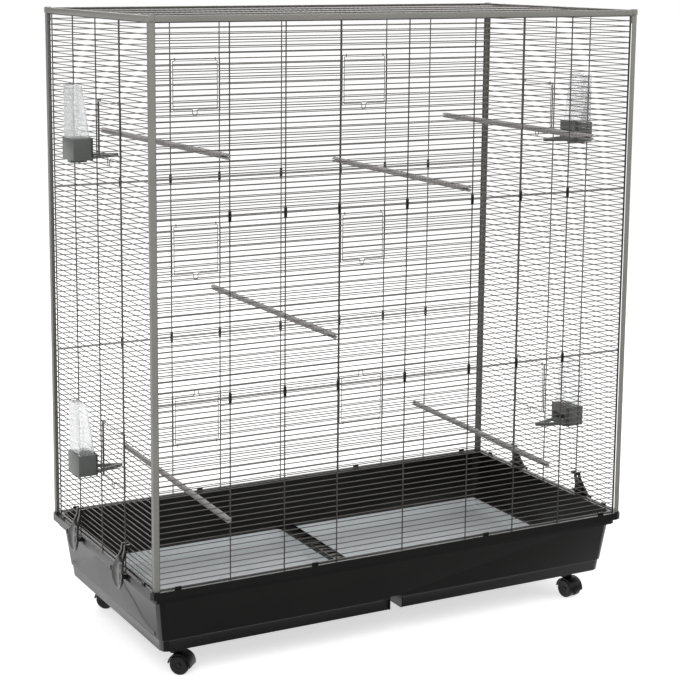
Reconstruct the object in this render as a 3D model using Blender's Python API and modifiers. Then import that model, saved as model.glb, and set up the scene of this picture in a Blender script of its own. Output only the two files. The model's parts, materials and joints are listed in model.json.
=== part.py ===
# A tall indoor bird cage on castors: a wire cage of clipped panels in an angle frame, standing
# on the rim of a deep plastic base. Metres, +Z up, origin on the floor below the middle,
# the long front wall towards -Y.
import math

import bmesh
import bpy
from mathutils import Matrix, Vector

MM = 0.001

CLEARANCE = 0.3 * MM

# Edges bent by more than this stay sharp.
SHARP_ANGLE = math.radians(35)

# Drawn curves are in millimetres until they are meshes.
CURVE_WELD = 0.01
SLANT = Matrix.Rotation(math.radians(23), 2)

# Wire panels. Rungs are the horizontal wires, uprights the few vertical ones outside them.
PITCH = 12 * MM
RUNG = 2 * MM
UPRIGHT = 3 * MM
TIER_ROWS = (32, 31, 32)
DOOR_COLUMN = 124.5 * MM
CENTRE_COLUMN = 162 * MM
SIDE_COLUMN = 132 * MM
CLIP_HEIGHT = 26 * MM
CLIP_THICKNESS = 2.4 * MM

# Angle frame. Posts and top rails are equal angles with their corner outwards.
FRAME_WIDTH = 1152 * MM
FRAME_DEPTH = 576 * MM
ANGLE = 12 * MM
ANGLE_WALL = 1.6 * MM
CORNER_PROUD = 1.5 * MM
PEG_LENGTH = 18 * MM
PEG_CHAMFER = 1 * MM

# Base tray.
BASE_DEPTH = 144 * MM
BASE_WALL = 3 * MM
BASE_CORNER = 14 * MM
RIM_OUT = 12 * MM
RIM_WIDTH = 19 * MM
RIM_LIP = 16 * MM
RIM_BEAD = 0.6 * MM
BAND_OUT = 2 * MM
BAND_HEIGHT = 28 * MM
WALL_TAPER = 14 * MM
STEP_HEIGHT = 28 * MM
STEP_IN = 2.5 * MM
FOOT_TAPER = 2.5 * MM
CHANNEL_WIDTH = 28 * MM
CHANNEL_HEIGHT = 31 * MM
TAB_WIDTH = 14 * MM
TAB_HEIGHT = 6 * MM
TAB_THICKNESS = 3 * MM
TAB_END_INSET = 46 * MM
TAB_INNER = 215 * MM
SIDE_TAB_INSET = 51 * MM

# Floor trays.
FLOOR_TRAY_HEIGHT = 25 * MM
FLOOR_TRAY_WALL = 2 * MM
FLOOR_TRAY_PLAY = 3 * MM
FLOOR_TRAY_CORNER = 8 * MM

# Castors. The stem stands in a socket pad under the base. At rest each one points its own way.
WHEEL_RADIUS = 21 * MM
WHEEL_WIDTH = 13.5 * MM
WHEEL_GAP = 9 * MM
WHEEL_STEPS = 16
HUB_RADIUS = 4 * MM
HOOD_RADIUS = 25.5 * MM
HOOD_THICKNESS = 3.4 * MM
NECK_HEIGHT = 11.5 * MM
NECK_LENGTH = 25 * MM
NECK_WIDTH = 16 * MM
STEM_RADIUS = 5 * MM
STEM_LENGTH = 11 * MM
SOCKET_PAD_HEIGHT = 12 * MM
SOCKET_PAD_RADIUS = 16 * MM
HOOD_ARC = (5, 185)
WEB_ARC = (20, 170)
NECK_ARC = (30, 90)
TRAIL = 12 * MM
CASTOR_INSET = 77 * MM
CASTOR_TURNS = {"front_left": 134, "back_left": 134, "front_right": 100, "back_right": 100}

# Doors, in rows of the wire grid. A lower door hinges at its foot, the others at their head.
DOOR_WIDTH = 114 * MM
DOOR_ROWS = 10
DOOR_PLAY = 3.5 * MM
BACK_DOOR_ROWS = {"lower": 10, "middle": 44, "upper": 76}
SIDE_DOOR_ROWS = {"lower": 14, "upper": 71}
LOOP_WIRE = 1.4 * MM
LOOP_WIDTH = 3 * MM
LOOP_INSET = 6 * MM
LATCH_WIDTH = 13 * MM
LATCH_REACH = 16 * MM
LATCH_WIRE = 1.8 * MM
LATCH_LAP = 1.4 * MM

# Feeders, in rows of the wire grid.
FEEDER_ROWS = {"lower": 13, "upper": 70}
FEEDER_OPENING_ROWS = 4
TROUGH_WIDTH = 66 * MM
TROUGH_DEPTH = 40 * MM
TROUGH_WALL = 2 * MM
COLLAR_WIDTH = 58 * MM
COLLAR_DEPTH = 5 * MM
WINDOW_WIDTH = 46 * MM
WINDOW_LOW = 11 * MM
WINDOW_HIGH = 26 * MM
SPOUT_WIDTH = 20 * MM
SPOUT_HEIGHT = 6 * MM
LEDGE_WIDTH = 3 * MM
LEDGE_INSET = 4 * MM
V_PERCH_REACH = 67 * MM
V_PERCH_BAR = 7 * MM
V_PERCH_NOSE = 11 * MM
V_PERCH_INSET = 1.5 * MM
SILO_HEIGHT = 130 * MM
SILO_WALL = 1.5 * MM
SILO_TOP_DEPTH = 20 * MM
SILO_PLAY = 0.5 * MM

# Perches run from wall to wall on a row, some a little askew: (name, back X, front X, row).
PERCH_RADIUS = 6.5 * MM
PERCH_END = 16 * MM
PERCH_SLIT_PLAY = 1 * MM
PERCHES = (
    ("perch_upper_left", -446 * MM, -421 * MM, 73),
    ("perch_upper_right", 464 * MM, 462 * MM, 73),
    ("perch_upper_middle", 151 * MM, 146 * MM, 65),
    ("perch_middle", -174 * MM, -177 * MM, 41),
    ("perch_lower_left", -402 * MM, -420 * MM, 11),
    ("perch_lower_right", 389 * MM, 371 * MM, 12),
)

# Base levers. They turn on pins in ears on the rim, and two prongs hook over a rung.
LEVER_WIDTH = 60 * MM
LEVER_THICKNESS = 5 * MM
LEVER_OUT = 18.5 * MM
LEVER_DROP = 42 * MM
LEVER_BELLY = 25 * MM
LEVER_SWELL = 1 * MM
LEVER_FOOT_ARC = (200, 340)
LEVER_SHOULDER = 20 * MM
LEVER_SHOULDER_WIDTH = 31 * MM
LEVER_NECK = 4 * MM
LEVER_NECK_HEIGHT = 43 * MM
LEVER_TOP_WIDTH = 22 * MM
LEVER_SLOT = 8.4 * MM
LEVER_SLOT_LOW = 30 * MM
LEVER_HOOK_ROW = 4
PRONG_HEIGHT = 4.5 * MM
PRONG_REACH = 4 * MM
PRONG_BEND = 8 * MM
PIVOT_DROP = 6 * MM
PIN_RADIUS = 2.2 * MM
PIN_LENGTH = 4.6 * MM
EAR_THICKNESS = 4 * MM
EAR_MARGIN = 4 * MM

GREY_PAINT = ("grey_paint", (0.42, 0.43, 0.42), 0.45, 0.0)
DARK_WIRE = ("dark_wire", (0.06, 0.055, 0.055), 0.4, 0.3)
BLACK_PLASTIC = ("black_plastic", (0.013, 0.012, 0.011), 0.35, 0.0)
PALE_PLASTIC = ("pale_plastic", (0.42, 0.45, 0.46), 0.5, 0.0)
PERCH_PLASTIC = ("perch_plastic", (0.16, 0.15, 0.145), 0.6, 0.0)
TROUGH_PLASTIC = ("trough_plastic", (0.11, 0.12, 0.115), 0.5, 0.0)
SMOKED_PLASTIC = ("smoked_plastic", (0.09, 0.08, 0.07), 0.2, 0.0)
CLEAR_PLASTIC = ("clear_plastic", (0.9, 0.92, 0.93), 0.08, 0.0)
CASTOR_PLASTIC = ("castor_plastic", (0.01, 0.01, 0.01), 0.4, 0.0)

WIRE_ROWS = sum(TIER_ROWS)
WIRE_HEIGHT = WIRE_ROWS * PITCH
CASTOR_HEIGHT = WHEEL_RADIUS + HOOD_RADIUS + NECK_HEIGHT + SOCKET_PAD_HEIGHT
BASE_BOTTOM = CASTOR_HEIGHT
RIM_TOP = BASE_BOTTOM + BASE_DEPTH
FRAME_TOP = RIM_TOP + WIRE_HEIGHT + ANGLE
BASE_FLOOR = BASE_BOTTOM + BASE_WALL
RUNG_FACE = RUNG / 2
UPRIGHT_IN = RUNG_FACE + CLEARANCE
UPRIGHT_OUT = UPRIGHT_IN + UPRIGHT
DOOR_CENTRE = CENTRE_COLUMN + DOOR_COLUMN / 2
FRONT_UPRIGHTS = (0, CENTRE_COLUMN, CENTRE_COLUMN + DOOR_COLUMN, CENTRE_COLUMN + 2 * DOOR_COLUMN)
LOOP_INNER = RUNG * math.sqrt(0.5) + CLEARANCE
LOOP_OUTER = LOOP_INNER + LOOP_WIRE
DOOR_LENGTH = DOOR_ROWS * PITCH
PIVOT_OUT = LEVER_OUT + LEVER_THICKNESS / 2
SIDEWAYS = Matrix.Rotation(math.radians(-90), 4, "Y")
FLATWAYS = Matrix.Rotation(math.radians(90), 4, "X")

WALL_TURNS = {
    "front": (0, FRAME_DEPTH / 2),
    "right": (90, FRAME_WIDTH / 2),
    "back": (180, FRAME_DEPTH / 2),
    "left": (270, FRAME_WIDTH / 2),
}

# The way to each corner in X and Y, and the turn of its connector.
CORNERS = {
    "front_left": (-1, -1, 0),
    "front_right": (1, -1, 90),
    "back_right": (1, 1, 180),
    "back_left": (-1, 1, 270),
}


def wall_frame(side):
    """Along the wall, up from the rim, and outwards from the wire plane."""
    turn, distance = WALL_TURNS[side]
    spin = Matrix.Rotation(math.radians(turn), 4, "Z")
    return spin @ Matrix.Translation((0, -distance, RIM_TOP)) @ FLATWAYS


def clear_scene():
    for obj in list(bpy.data.objects):
        bpy.data.objects.remove(obj)
    for collection in list(bpy.data.collections):
        bpy.data.collections.remove(collection)


def new_collection(name):
    collection = bpy.data.collections.new(name)
    bpy.context.scene.collection.children.link(collection)
    return collection


def new_material(name, colour, roughness, metallic):
    material = bpy.data.materials.new(name)
    material.use_nodes = True
    shader = material.node_tree.nodes["Principled BSDF"]
    shader.inputs["Base Color"].default_value = (*colour, 1)
    shader.inputs["Roughness"].default_value = roughness
    shader.inputs["Metallic"].default_value = metallic
    material.diffuse_color = (*colour, 1)
    return material


def add_part(name, mesh, finish, matrix=None, parent=None):
    """A named piece in the cage collection. The mesh may be shared with another piece."""
    part = bpy.data.objects.new(name, mesh)
    bpy.data.collections["bird_cage"].objects.link(part)
    if not mesh.materials:
        mesh.materials.append(new_material(*finish))
    part.parent = parent
    part.matrix_world = matrix or Matrix()
    return part


def evaluated(data, modifiers=()):
    """The mesh of some object data after the given modifiers, taken on a passing bench object."""
    bench = bpy.data.objects.new("bench", data)
    bpy.data.collections["cutters"].objects.link(bench)
    for kind, settings in modifiers:
        modifier = bench.modifiers.new(kind, kind)
        for setting, value in settings.items():
            setattr(modifier, setting, value)
    graph = bpy.context.evaluated_depsgraph_get()
    mesh = bpy.data.meshes.new_from_object(bench.evaluated_get(graph))
    bpy.data.objects.remove(bench)
    return mesh


def moved(mesh, matrix):
    mesh.transform(matrix)
    if matrix.determinant() < 0:
        mesh.flip_normals()
    return mesh


def plate(outline, low, high, holes=(), matrix=None):
    """A flat outline in X and Y with holes, thick from low to high in Z.

    The curve is drawn in millimetres, because its fill skips details under 0.03 of a unit, and
    at a slant, because the fill can miss a face where many corners lie level.
    """
    curve = bpy.data.curves.new("outline", "CURVE")
    curve.dimensions = "2D"
    curve.fill_mode = "BOTH"
    curve.extrude = (high - low) / 2 / MM
    for points in (outline, *holes):
        spline = curve.splines.new("POLY")
        spline.points.add(len(points) - 1)
        spline.use_cyclic_u = True
        for point, (x, y) in zip(spline.points, points):
            point.co = (*(SLANT @ Vector((x, y)) / MM), 0, 1)
    mesh = evaluated(curve)
    bpy.data.curves.remove(curve)
    shape = bmesh.new()
    shape.from_mesh(mesh)
    bmesh.ops.remove_doubles(shape, verts=shape.verts, dist=CURVE_WELD)
    shape.to_mesh(mesh)
    shape.free()
    lift = Matrix.Translation((0, 0, (low + high) / 2))
    mesh.transform(lift @ SLANT.inverted().to_4x4() @ Matrix.Scale(MM, 4))
    return moved(mesh, matrix) if matrix else mesh


def rectangle(x0, x1, y0, y1):
    return [(x0, y0), (x1, y0), (x1, y1), (x0, y1)]


def arc(centre, radius, start, end, steps):
    angles = [math.radians(start + (end - start) * i / steps) for i in range(steps + 1)]
    return [(centre[0] + radius * math.cos(a), centre[1] + radius * math.sin(a)) for a in angles]


def rounded_rectangle(half_x, half_y, radius, steps=3):
    points = []
    for index, (sx, sy) in enumerate(((1, 1), (-1, 1), (-1, -1), (1, -1))):
        centre = (sx * (half_x - radius), sy * (half_y - radius))
        points += arc(centre, radius, 90 * index, 90 * index + 90, steps)
    return points


def polygon(centre, apothem, sides, turn=0):
    """A regular outline whose flats lie at the apothem."""
    radius = apothem / math.cos(math.pi / sides)
    return arc(centre, radius, turn, turn + 360 * (sides - 1) / sides, sides - 1)


def box(low, high):
    shape = bmesh.new()
    low, high = Vector(low), Vector(high)
    size = Matrix.Diagonal((*(high - low), 1))
    bmesh.ops.create_cube(shape, size=1, matrix=Matrix.Translation((low + high) / 2) @ size)
    mesh = bpy.data.meshes.new("box")
    shape.to_mesh(mesh)
    shape.free()
    return mesh


def rod(radius, start, end, sides=12):
    """A round bar between two points."""
    start, end = Vector(start), Vector(end)
    turn = (end - start).to_track_quat("Z", "Y").to_matrix().to_4x4()
    shape = bmesh.new()
    bmesh.ops.create_cone(
        shape,
        cap_ends=True,
        segments=sides,
        radius1=radius,
        radius2=radius,
        depth=(end - start).length,
        matrix=Matrix.Translation((start + end) / 2) @ turn,
    )
    mesh = bpy.data.meshes.new("rod")
    shape.to_mesh(mesh)
    shape.free()
    return mesh


def gathered(meshes):
    """Several meshes in one, still separate bodies."""
    shape = bmesh.new()
    for mesh in meshes:
        shape.from_mesh(mesh)
    result = bpy.data.meshes.new("gathered")
    shape.to_mesh(result)
    shape.free()
    return result


def boolean(mesh, operation, others):
    """The mesh joined with, cut by or kept within the others, which don't overlap one another."""
    tool = bpy.data.objects.new("tool", gathered(others))
    bpy.data.collections["cutters"].objects.link(tool)
    result = evaluated(mesh, [("BOOLEAN", {"operation": operation, "object": tool, "solver": "EXACT"})])
    bpy.data.objects.remove(tool)
    return result


def smooth(mesh):
    mesh.shade_smooth()
    mesh.set_sharp_from_angle(angle=SHARP_ANGLE)
    return mesh


def ladder(half_width, low, high, rungs, openings=()):
    """A flat wire panel: edge wires, a rung at each given height, and framed openings.

    An opening is (centre, half width, height of the rung below, height of the rung above).
    """
    bars = [low + RUNG / 2, *rungs, high - RUNG / 2]
    holes = []
    for below, above in zip(bars, bars[1:]):
        middle = (below + above) / 2
        starts, ends = [-half_width + UPRIGHT], []
        for centre, half, bottom, top in sorted(openings):
            if bottom < middle < top:
                ends.append(centre - half - UPRIGHT)
                starts.append(centre + half + UPRIGHT)
        ends.append(half_width - UPRIGHT)
        for start, end in zip(starts, ends):
            holes.append(rectangle(start, end, below + RUNG / 2, above - RUNG / 2))
    for centre, half, bottom, top in openings:
        holes.append(rectangle(centre - half, centre + half, bottom + RUNG / 2, top - RUNG / 2))
    return plate(rectangle(-half_width, half_width, low, high), -RUNG_FACE, RUNG_FACE, holes)


def upright(position, low, high, clipped):
    """A wire outside the rungs, turned in at both ends, with a clip over the next panel's foot."""
    foot_in = -RUNG_FACE / 2
    foot = RUNG - 2 * CLEARANCE
    bottom, top = low + CLEARANCE, high - CLEARANCE
    outline = [(foot_in, bottom), (UPRIGHT_OUT, bottom)]
    if clipped:
        clip_in = UPRIGHT_OUT + CLEARANCE
        clip_out = clip_in + CLIP_THICKNESS
        outline += [(UPRIGHT_OUT, top - CLIP_HEIGHT / 2), (clip_out, top - CLIP_HEIGHT / 2)]
        outline += [(clip_out, top + CLIP_HEIGHT / 2), (clip_in, top + CLIP_HEIGHT / 2), (clip_in, top)]
    else:
        outline += [(UPRIGHT_OUT, top)]
    outline += [(foot_in, top), (foot_in, top - foot), (UPRIGHT_IN, top - foot)]
    outline += [(UPRIGHT_IN, bottom + foot), (foot_in, bottom + foot)]
    return plate(outline, -UPRIGHT / 2, UPRIGHT / 2, matrix=Matrix.Translation((position, 0, 0)) @ SIDEWAYS)


def wire_panel(half_width, first_row, last_row, uprights, openings=(), clipped=False):
    low = first_row * PITCH + (CLEARANCE if first_row == 0 else CLEARANCE / 2)
    high = last_row * PITCH - (CLEARANCE if last_row == WIRE_ROWS else CLEARANCE / 2)
    rungs = [row * PITCH for row in range(first_row + 1, last_row)]
    flat = ladder(half_width, low, high, rungs, openings)
    return boolean(flat, "UNION", [upright(position, low, high, clipped) for position in uprights])


def door_opening(centre, row):
    return (centre, DOOR_WIDTH / 2 + DOOR_PLAY, row * PITCH, (row + DOOR_ROWS) * PITCH)


def feeder_opening(centre, row):
    return (centre, COLLAR_WIDTH / 2 + UPRIGHT, row * PITCH, (row + FEEDER_OPENING_ROWS) * PITCH)


def long_wall(side, with_doors):
    half_width = FRAME_WIDTH / 2 - ANGLE / 2 - CLEARANCE
    uprights = sorted({sign * x for x in FRONT_UPRIGHTS for sign in (-1, 1)})
    first = 0
    for tier, rows in zip(("lower", "middle", "upper"), TIER_ROWS):
        openings = []
        if with_doors:
            openings = [door_opening(sign * DOOR_CENTRE, BACK_DOOR_ROWS[tier]) for sign in (-1, 1)]
        clipped = tier != "upper"
        mesh = wire_panel(half_width, first, first + rows, uprights, openings, clipped)
        add_part(f"{side}_panel_{tier}", mesh, DARK_WIRE, wall_frame(side))
        first += rows


def side_walls():
    half_width = FRAME_DEPTH / 2 - ANGLE / 2 - CLEARANCE
    uprights = (-SIDE_COLUMN, 0, SIDE_COLUMN)
    openings = [door_opening(SIDE_COLUMN / 2, row) for row in SIDE_DOOR_ROWS.values()]
    openings += [feeder_opening(-SIDE_COLUMN / 2, row) for row in FEEDER_ROWS.values()]
    mesh = wire_panel(half_width, 0, WIRE_ROWS, uprights, openings)
    for side in ("left", "right"):
        add_part(f"{side}_panel", mesh, DARK_WIRE, wall_frame(side))


def roof():
    """Its rungs run from front to back, and three long wires lie on them."""
    half_width = FRAME_DEPTH / 2 - ANGLE / 2 - CLEARANCE
    half_length = FRAME_WIDTH / 2 - ANGLE / 2 - CLEARANCE
    count = round(2 * half_length / PITCH)
    rungs = [half_length * (2 * index / count - 1) for index in range(1, count)]
    flat = ladder(half_width, -half_length, half_length, rungs)
    wires = [upright(x, -half_length, half_length, False) for x in (-SIDE_COLUMN, 0, SIDE_COLUMN)]
    mesh = boolean(flat, "UNION", wires)
    middle = FRAME_TOP - ANGLE / 2
    turn = Matrix.Rotation(math.radians(-90), 4, "Z")
    add_part("roof_panel", mesh, DARK_WIRE, Matrix.Translation((0, 0, middle)) @ turn)


def angle(length):
    """An angle section along Z from 0, its corner towards -X and -Y."""
    out, inner = ANGLE / 2, ANGLE / 2 - ANGLE_WALL
    outline = [(-out, -out), (out, -out), (out, -inner), (-inner, -inner), (-inner, out), (-out, out)]
    return plate(outline, 0, length)


def corner_block():
    """The three-way connector of the front left corner, with a peg in each angle that meets there."""
    inside, outside = ANGLE / 2, ANGLE / 2 + CORNER_PROUD
    shape = bmesh.new()
    shape.from_mesh(box((-outside, -outside, -inside), (inside, inside, outside)))
    bmesh.ops.bevel(shape, geom=shape.edges, offset=CORNER_PROUD, segments=1, affect="EDGES", profile=0.5)
    block = bpy.data.meshes.new("corner")
    shape.to_mesh(block)
    shape.free()
    peg_half = ANGLE / 2 - ANGLE_WALL - CLEARANCE
    section = rounded_rectangle(peg_half, peg_half, PEG_CHAMFER, 1)
    for axis, turn in (("Y", 90), ("X", -90), ("X", 180)):
        place = Matrix.Rotation(math.radians(turn), 4, axis)
        peg = plate(section, inside - CORNER_PROUD, inside + PEG_LENGTH, matrix=place)
        block = boolean(block, "UNION", [peg])
    return block


def angle_frame():
    half_x, half_y = FRAME_WIDTH / 2, FRAME_DEPTH / 2
    rail_height = FRAME_TOP - ANGLE / 2
    corner = ANGLE / 2 + CLEARANCE
    along_x = Matrix.Rotation(math.radians(90), 4, "Y")
    for sides, half in ((("front", "back"), half_x), (("left", "right"), half_y)):
        rail = angle(2 * (half - corner))
        for side in sides:
            turn, distance = WALL_TURNS[side]
            spin = Matrix.Rotation(math.radians(turn), 4, "Z")
            start = Matrix.Translation((-half + corner, -distance, rail_height))
            add_part(f"top_rail_{side}", rail, GREY_PAINT, spin @ start @ along_x)
    post, block = angle(WIRE_HEIGHT - 2 * CLEARANCE), corner_block()
    for name, (sx, sy, turn) in CORNERS.items():
        spin = Matrix.Rotation(math.radians(turn), 4, "Z")
        foot = Matrix.Translation((sx * half_x, sy * half_y, RIM_TOP + CLEARANCE))
        add_part(f"post_{name}", post, GREY_PAINT, foot @ spin)
        head = Matrix.Translation((sx * half_x, sy * half_y, rail_height))
        add_part(f"corner_block_{name}", block, GREY_PAINT, head @ spin)


def base_section():
    """(how far inside the wire plane, height above the rim) down the inner face of the base's wall."""
    wall_in = RIM_WIDTH - RIM_OUT
    step_in = wall_in + WALL_TAPER + STEP_IN
    return [
        (wall_in, -BASE_WALL / 2),
        (wall_in + WALL_TAPER, -BASE_DEPTH + STEP_HEIGHT),
        (step_in, -BASE_DEPTH + STEP_HEIGHT - STEP_IN),
        (step_in + FOOT_TAPER, -BASE_DEPTH + BASE_WALL),
    ]


def base_inset(height):
    """How far the base's inner face lies inside the wire plane, at a height above the rim."""
    section = base_section()
    for (in_high, high), (in_low, low) in zip(section, section[1:]):
        if low <= height <= high:
            return in_high + (in_low - in_high) * (high - height) / (high - low)
    return section[-1][0]


def rim_ring(inset, radius=BASE_CORNER):
    return rounded_rectangle(FRAME_WIDTH / 2 - inset, FRAME_DEPTH / 2 - inset, radius, 2)


def base_rim():
    """The flat rim with its outer lip, and the band that hangs behind the lip."""
    inner_radius = BASE_CORNER - BASE_WALL
    wall_in = RIM_WIDTH - RIM_OUT
    underside = RIM_TOP - BASE_WALL
    rim = plate(rim_ring(-RIM_OUT), RIM_TOP - RIM_LIP, RIM_TOP, [rim_ring(wall_in + RIM_BEAD)])
    groove_outer = rim_ring(BASE_WALL - RIM_OUT, inner_radius)
    groove_wall = rim_ring(wall_in - BASE_WALL)
    groove = plate(groove_outer, RIM_TOP - 2 * RIM_LIP, underside, [groove_wall])
    rim = boolean(rim, "DIFFERENCE", [groove])
    band_inner = rim_ring(BASE_WALL - BAND_OUT, inner_radius)
    band = plate(rim_ring(-BAND_OUT), RIM_TOP - BAND_HEIGHT, RIM_TOP - BASE_WALL / 2, [band_inner])
    return boolean(rim, "UNION", [band])


def base_walls():
    """Walls and floor: rings down the inner face, given their thickness outwards."""
    shape = bmesh.new()
    loops = []
    for inset, height in base_section():
        verts = [shape.verts.new((x, y, RIM_TOP + height)) for x, y in rim_ring(inset)]
        loops.append([shape.edges.new(pair) for pair in zip(verts, verts[1:] + verts[:1])])
    for upper, lower in zip(loops, loops[1:]):
        bmesh.ops.bridge_loops(shape, edges=upper + lower)
    bmesh.ops.contextual_create(shape, geom=loops[-1])
    bmesh.ops.recalc_face_normals(shape, faces=shape.faces)
    shape.normal_update()
    floor = max(shape.faces, key=lambda face: face.calc_area())
    if floor.normal.z < 0:
        bmesh.ops.reverse_faces(shape, faces=shape.faces)
    mesh = bpy.data.meshes.new("base")
    shape.to_mesh(mesh)
    shape.free()
    return evaluated(mesh, [("SOLIDIFY", {"thickness": BASE_WALL, "offset": -1, "use_even_offset": True})])


def ear(position):
    """One of the two plates that hold a lever's pin, on the rim's outer face."""
    out = PIVOT_OUT + EAR_MARGIN
    outline = rectangle(RIM_OUT - BASE_WALL / 2, out, -PIVOT_DROP - EAR_MARGIN, -CLEARANCE)
    hole = polygon((PIVOT_OUT, -PIVOT_DROP), PIN_RADIUS + CLEARANCE, 6)
    place = Matrix.Translation((position, 0, 0)) @ SIDEWAYS
    return plate(outline, -EAR_THICKNESS / 2, EAR_THICKNESS / 2, [hole], place)


def tab(position):
    """A peg on the rim, outside the foot of the wires."""
    left, near = position - TAB_WIDTH / 2, UPRIGHT_OUT + CLEARANCE
    return box((left, -BASE_WALL / 2, near), (left + TAB_WIDTH, TAB_HEIGHT, near + TAB_THICKNESS))


def castor_places():
    x, y = FRAME_WIDTH / 2 - CASTOR_INSET, FRAME_DEPTH / 2 - CASTOR_INSET
    return {name: (sx * x, sy * y) for name, (sx, sy, turn) in CORNERS.items()}


def base_tray():
    shell = boolean(base_rim(), "UNION", [base_walls()])
    ridge_half = CHANNEL_WIDTH / 2 + BASE_WALL
    ridge_end = FRAME_DEPTH / 2 - base_inset(-BASE_DEPTH + CHANNEL_HEIGHT) + BASE_WALL / 2
    ridge_top = BASE_BOTTOM + CHANNEL_HEIGHT + BASE_WALL
    ridge = box((-ridge_half, -ridge_end, BASE_BOTTOM + BASE_WALL / 2), (ridge_half, ridge_end, ridge_top))
    shell = boolean(shell, "UNION", [ridge])
    fittings = []
    ear_centre = LEVER_WIDTH / 2 + CLEARANCE + EAR_THICKNESS / 2
    for side in ("left", "right"):
        frame = wall_frame(side)
        for lever in (-SIDE_COLUMN, SIDE_COLUMN):
            fittings += [moved(ear(lever + sign * ear_centre), frame) for sign in (-1, 1)]
        end = FRAME_DEPTH / 2 - SIDE_TAB_INSET
        fittings += [moved(tab(position), frame) for position in (-end, end)]
    for side in ("front", "back"):
        end = FRAME_WIDTH / 2 - TAB_END_INSET
        places = (-end, -TAB_INNER, TAB_INNER, end)
        fittings += [moved(tab(position), wall_frame(side)) for position in places]
    pads = []
    sockets = []
    for x, y in castor_places().values():
        pad_low = BASE_BOTTOM - SOCKET_PAD_HEIGHT
        pads.append(rod(SOCKET_PAD_RADIUS, (x, y, pad_low), (x, y, BASE_BOTTOM + BASE_WALL / 2)))
        socket_top = pad_low + STEM_LENGTH + CLEARANCE
        sockets.append(rod(STEM_RADIUS + CLEARANCE * 2, (x, y, pad_low - BASE_WALL), (x, y, socket_top), 8))
    shell = boolean(shell, "UNION", fittings + pads)
    far = FRAME_DEPTH / 2 + RIM_OUT
    half = CHANNEL_WIDTH / 2
    groove = box((-half, -far, BASE_BOTTOM - BASE_WALL), (half, far, BASE_BOTTOM + CHANNEL_HEIGHT))
    shell = boolean(shell, "DIFFERENCE", [groove, *sockets])
    add_part("base_tray", smooth(shell), BLACK_PLASTIC)


def floor_trays():
    """Two low trays on the base's floor, one each side of the raised channel."""
    top = -BASE_DEPTH + BASE_WALL + FLOOR_TRAY_HEIGHT
    outer_x = FRAME_WIDTH / 2 - base_inset(-BASE_DEPTH + BASE_WALL) - FLOOR_TRAY_PLAY
    inner_x = CHANNEL_WIDTH / 2 + BASE_WALL + CLEARANCE
    half_x = (outer_x - inner_x) / 2
    half_y = FRAME_DEPTH / 2 - base_inset(-BASE_DEPTH + BASE_WALL) - FLOOR_TRAY_PLAY
    low, high = BASE_FLOOR + CLEARANCE, RIM_TOP + top
    outer = plate(rounded_rectangle(half_x, half_y, FLOOR_TRAY_CORNER), low, high)
    inside_x, inside_y = half_x - FLOOR_TRAY_WALL, half_y - FLOOR_TRAY_WALL
    inside = rounded_rectangle(inside_x, inside_y, FLOOR_TRAY_CORNER - FLOOR_TRAY_WALL)
    hollow = plate(inside, low + FLOOR_TRAY_WALL, high + FLOOR_TRAY_WALL)
    mesh = smooth(boolean(outer, "DIFFERENCE", [hollow]))
    for side, sign in (("left", -1), ("right", 1)):
        place = Matrix.Translation((sign * (inner_x + half_x), 0, 0))
        add_part(f"floor_tray_{side}", mesh, PALE_PLASTIC, place)


def perch_mesh():
    """Along Y about its middle. Each end is slit to slide over a rung, and stands out past it."""
    end = FRAME_DEPTH / 2 + PERCH_END
    slit_in, slit_half = FRAME_DEPTH / 2 - RUNG_FACE - PERCH_SLIT_PLAY, RUNG_FACE + CLEARANCE
    wide, far = PERCH_RADIUS * 2, end + PERCH_RADIUS
    slits = [
        box((-wide, slit_in, -slit_half), (wide, far, slit_half)),
        box((-wide, -far, -slit_half), (wide, -slit_in, slit_half)),
    ]
    return smooth(boolean(rod(PERCH_RADIUS, (0, -end, 0), (0, end, 0)), "DIFFERENCE", slits))


def perches():
    mesh = perch_mesh()
    for name, back_x, front_x, row in PERCHES:
        middle = Matrix.Translation(((back_x + front_x) / 2, 0, RIM_TOP + row * PITCH))
        askew = Matrix.Rotation(math.atan2(front_x - back_x, FRAME_DEPTH), 4, "Z")
        add_part(name, mesh, PERCH_PLASTIC, middle @ askew)


def door_mesh():
    """A wire flap that hangs from its hinge rung by two loops, with a bent latch at its foot."""
    head = -LOOP_OUTER + CLEARANCE
    foot = -DOOR_LENGTH + RUNG_FACE + CLEARANCE + RUNG_FACE
    rungs = [-row * PITCH for row in range(DOOR_ROWS - 1, 0, -1)]
    flap = ladder(DOOR_WIDTH / 2, foot, head, rungs)
    loops = []
    for sign in (-1, 1):
        ring = polygon((0, 0), LOOP_OUTER, 4, -45)
        hole = polygon((0, 0), LOOP_INNER, 4, -45)
        place = Matrix.Translation((sign * (DOOR_WIDTH / 2 - LOOP_INSET), 0, 0)) @ SIDEWAYS
        loops.append(plate(ring, -LOOP_WIDTH / 2, LOOP_WIDTH / 2, [hole], place))
    flap = boolean(flap, "UNION", loops)
    half, inner = LATCH_WIDTH / 2, LATCH_WIDTH / 2 - LATCH_WIRE
    tip, legs = foot - LATCH_REACH, foot + LATCH_LAP
    bend = arc((0, tip + half), half, 180, 360, 3)
    bend_in = arc((0, tip + half), inner, 360, 180, 3)
    outline = [(-half, legs), *bend, (half, legs), (inner, legs), *bend_in, (-inner, legs)]
    latch = plate(outline, UPRIGHT_IN, UPRIGHT_IN + LATCH_WIRE)
    bridge_half, bridge_out = half - LATCH_WIRE / 2, UPRIGHT_IN + LATCH_WIRE / 2
    bridge_low, bridge_high = foot + LATCH_LAP / 4, foot + LATCH_LAP * 3 / 4
    bridge = box((-bridge_half, bridge_low, 0), (bridge_half, bridge_high, bridge_out))
    latch = boolean(latch, "UNION", [bridge])
    return boolean(flap, "UNION", [latch])


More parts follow.
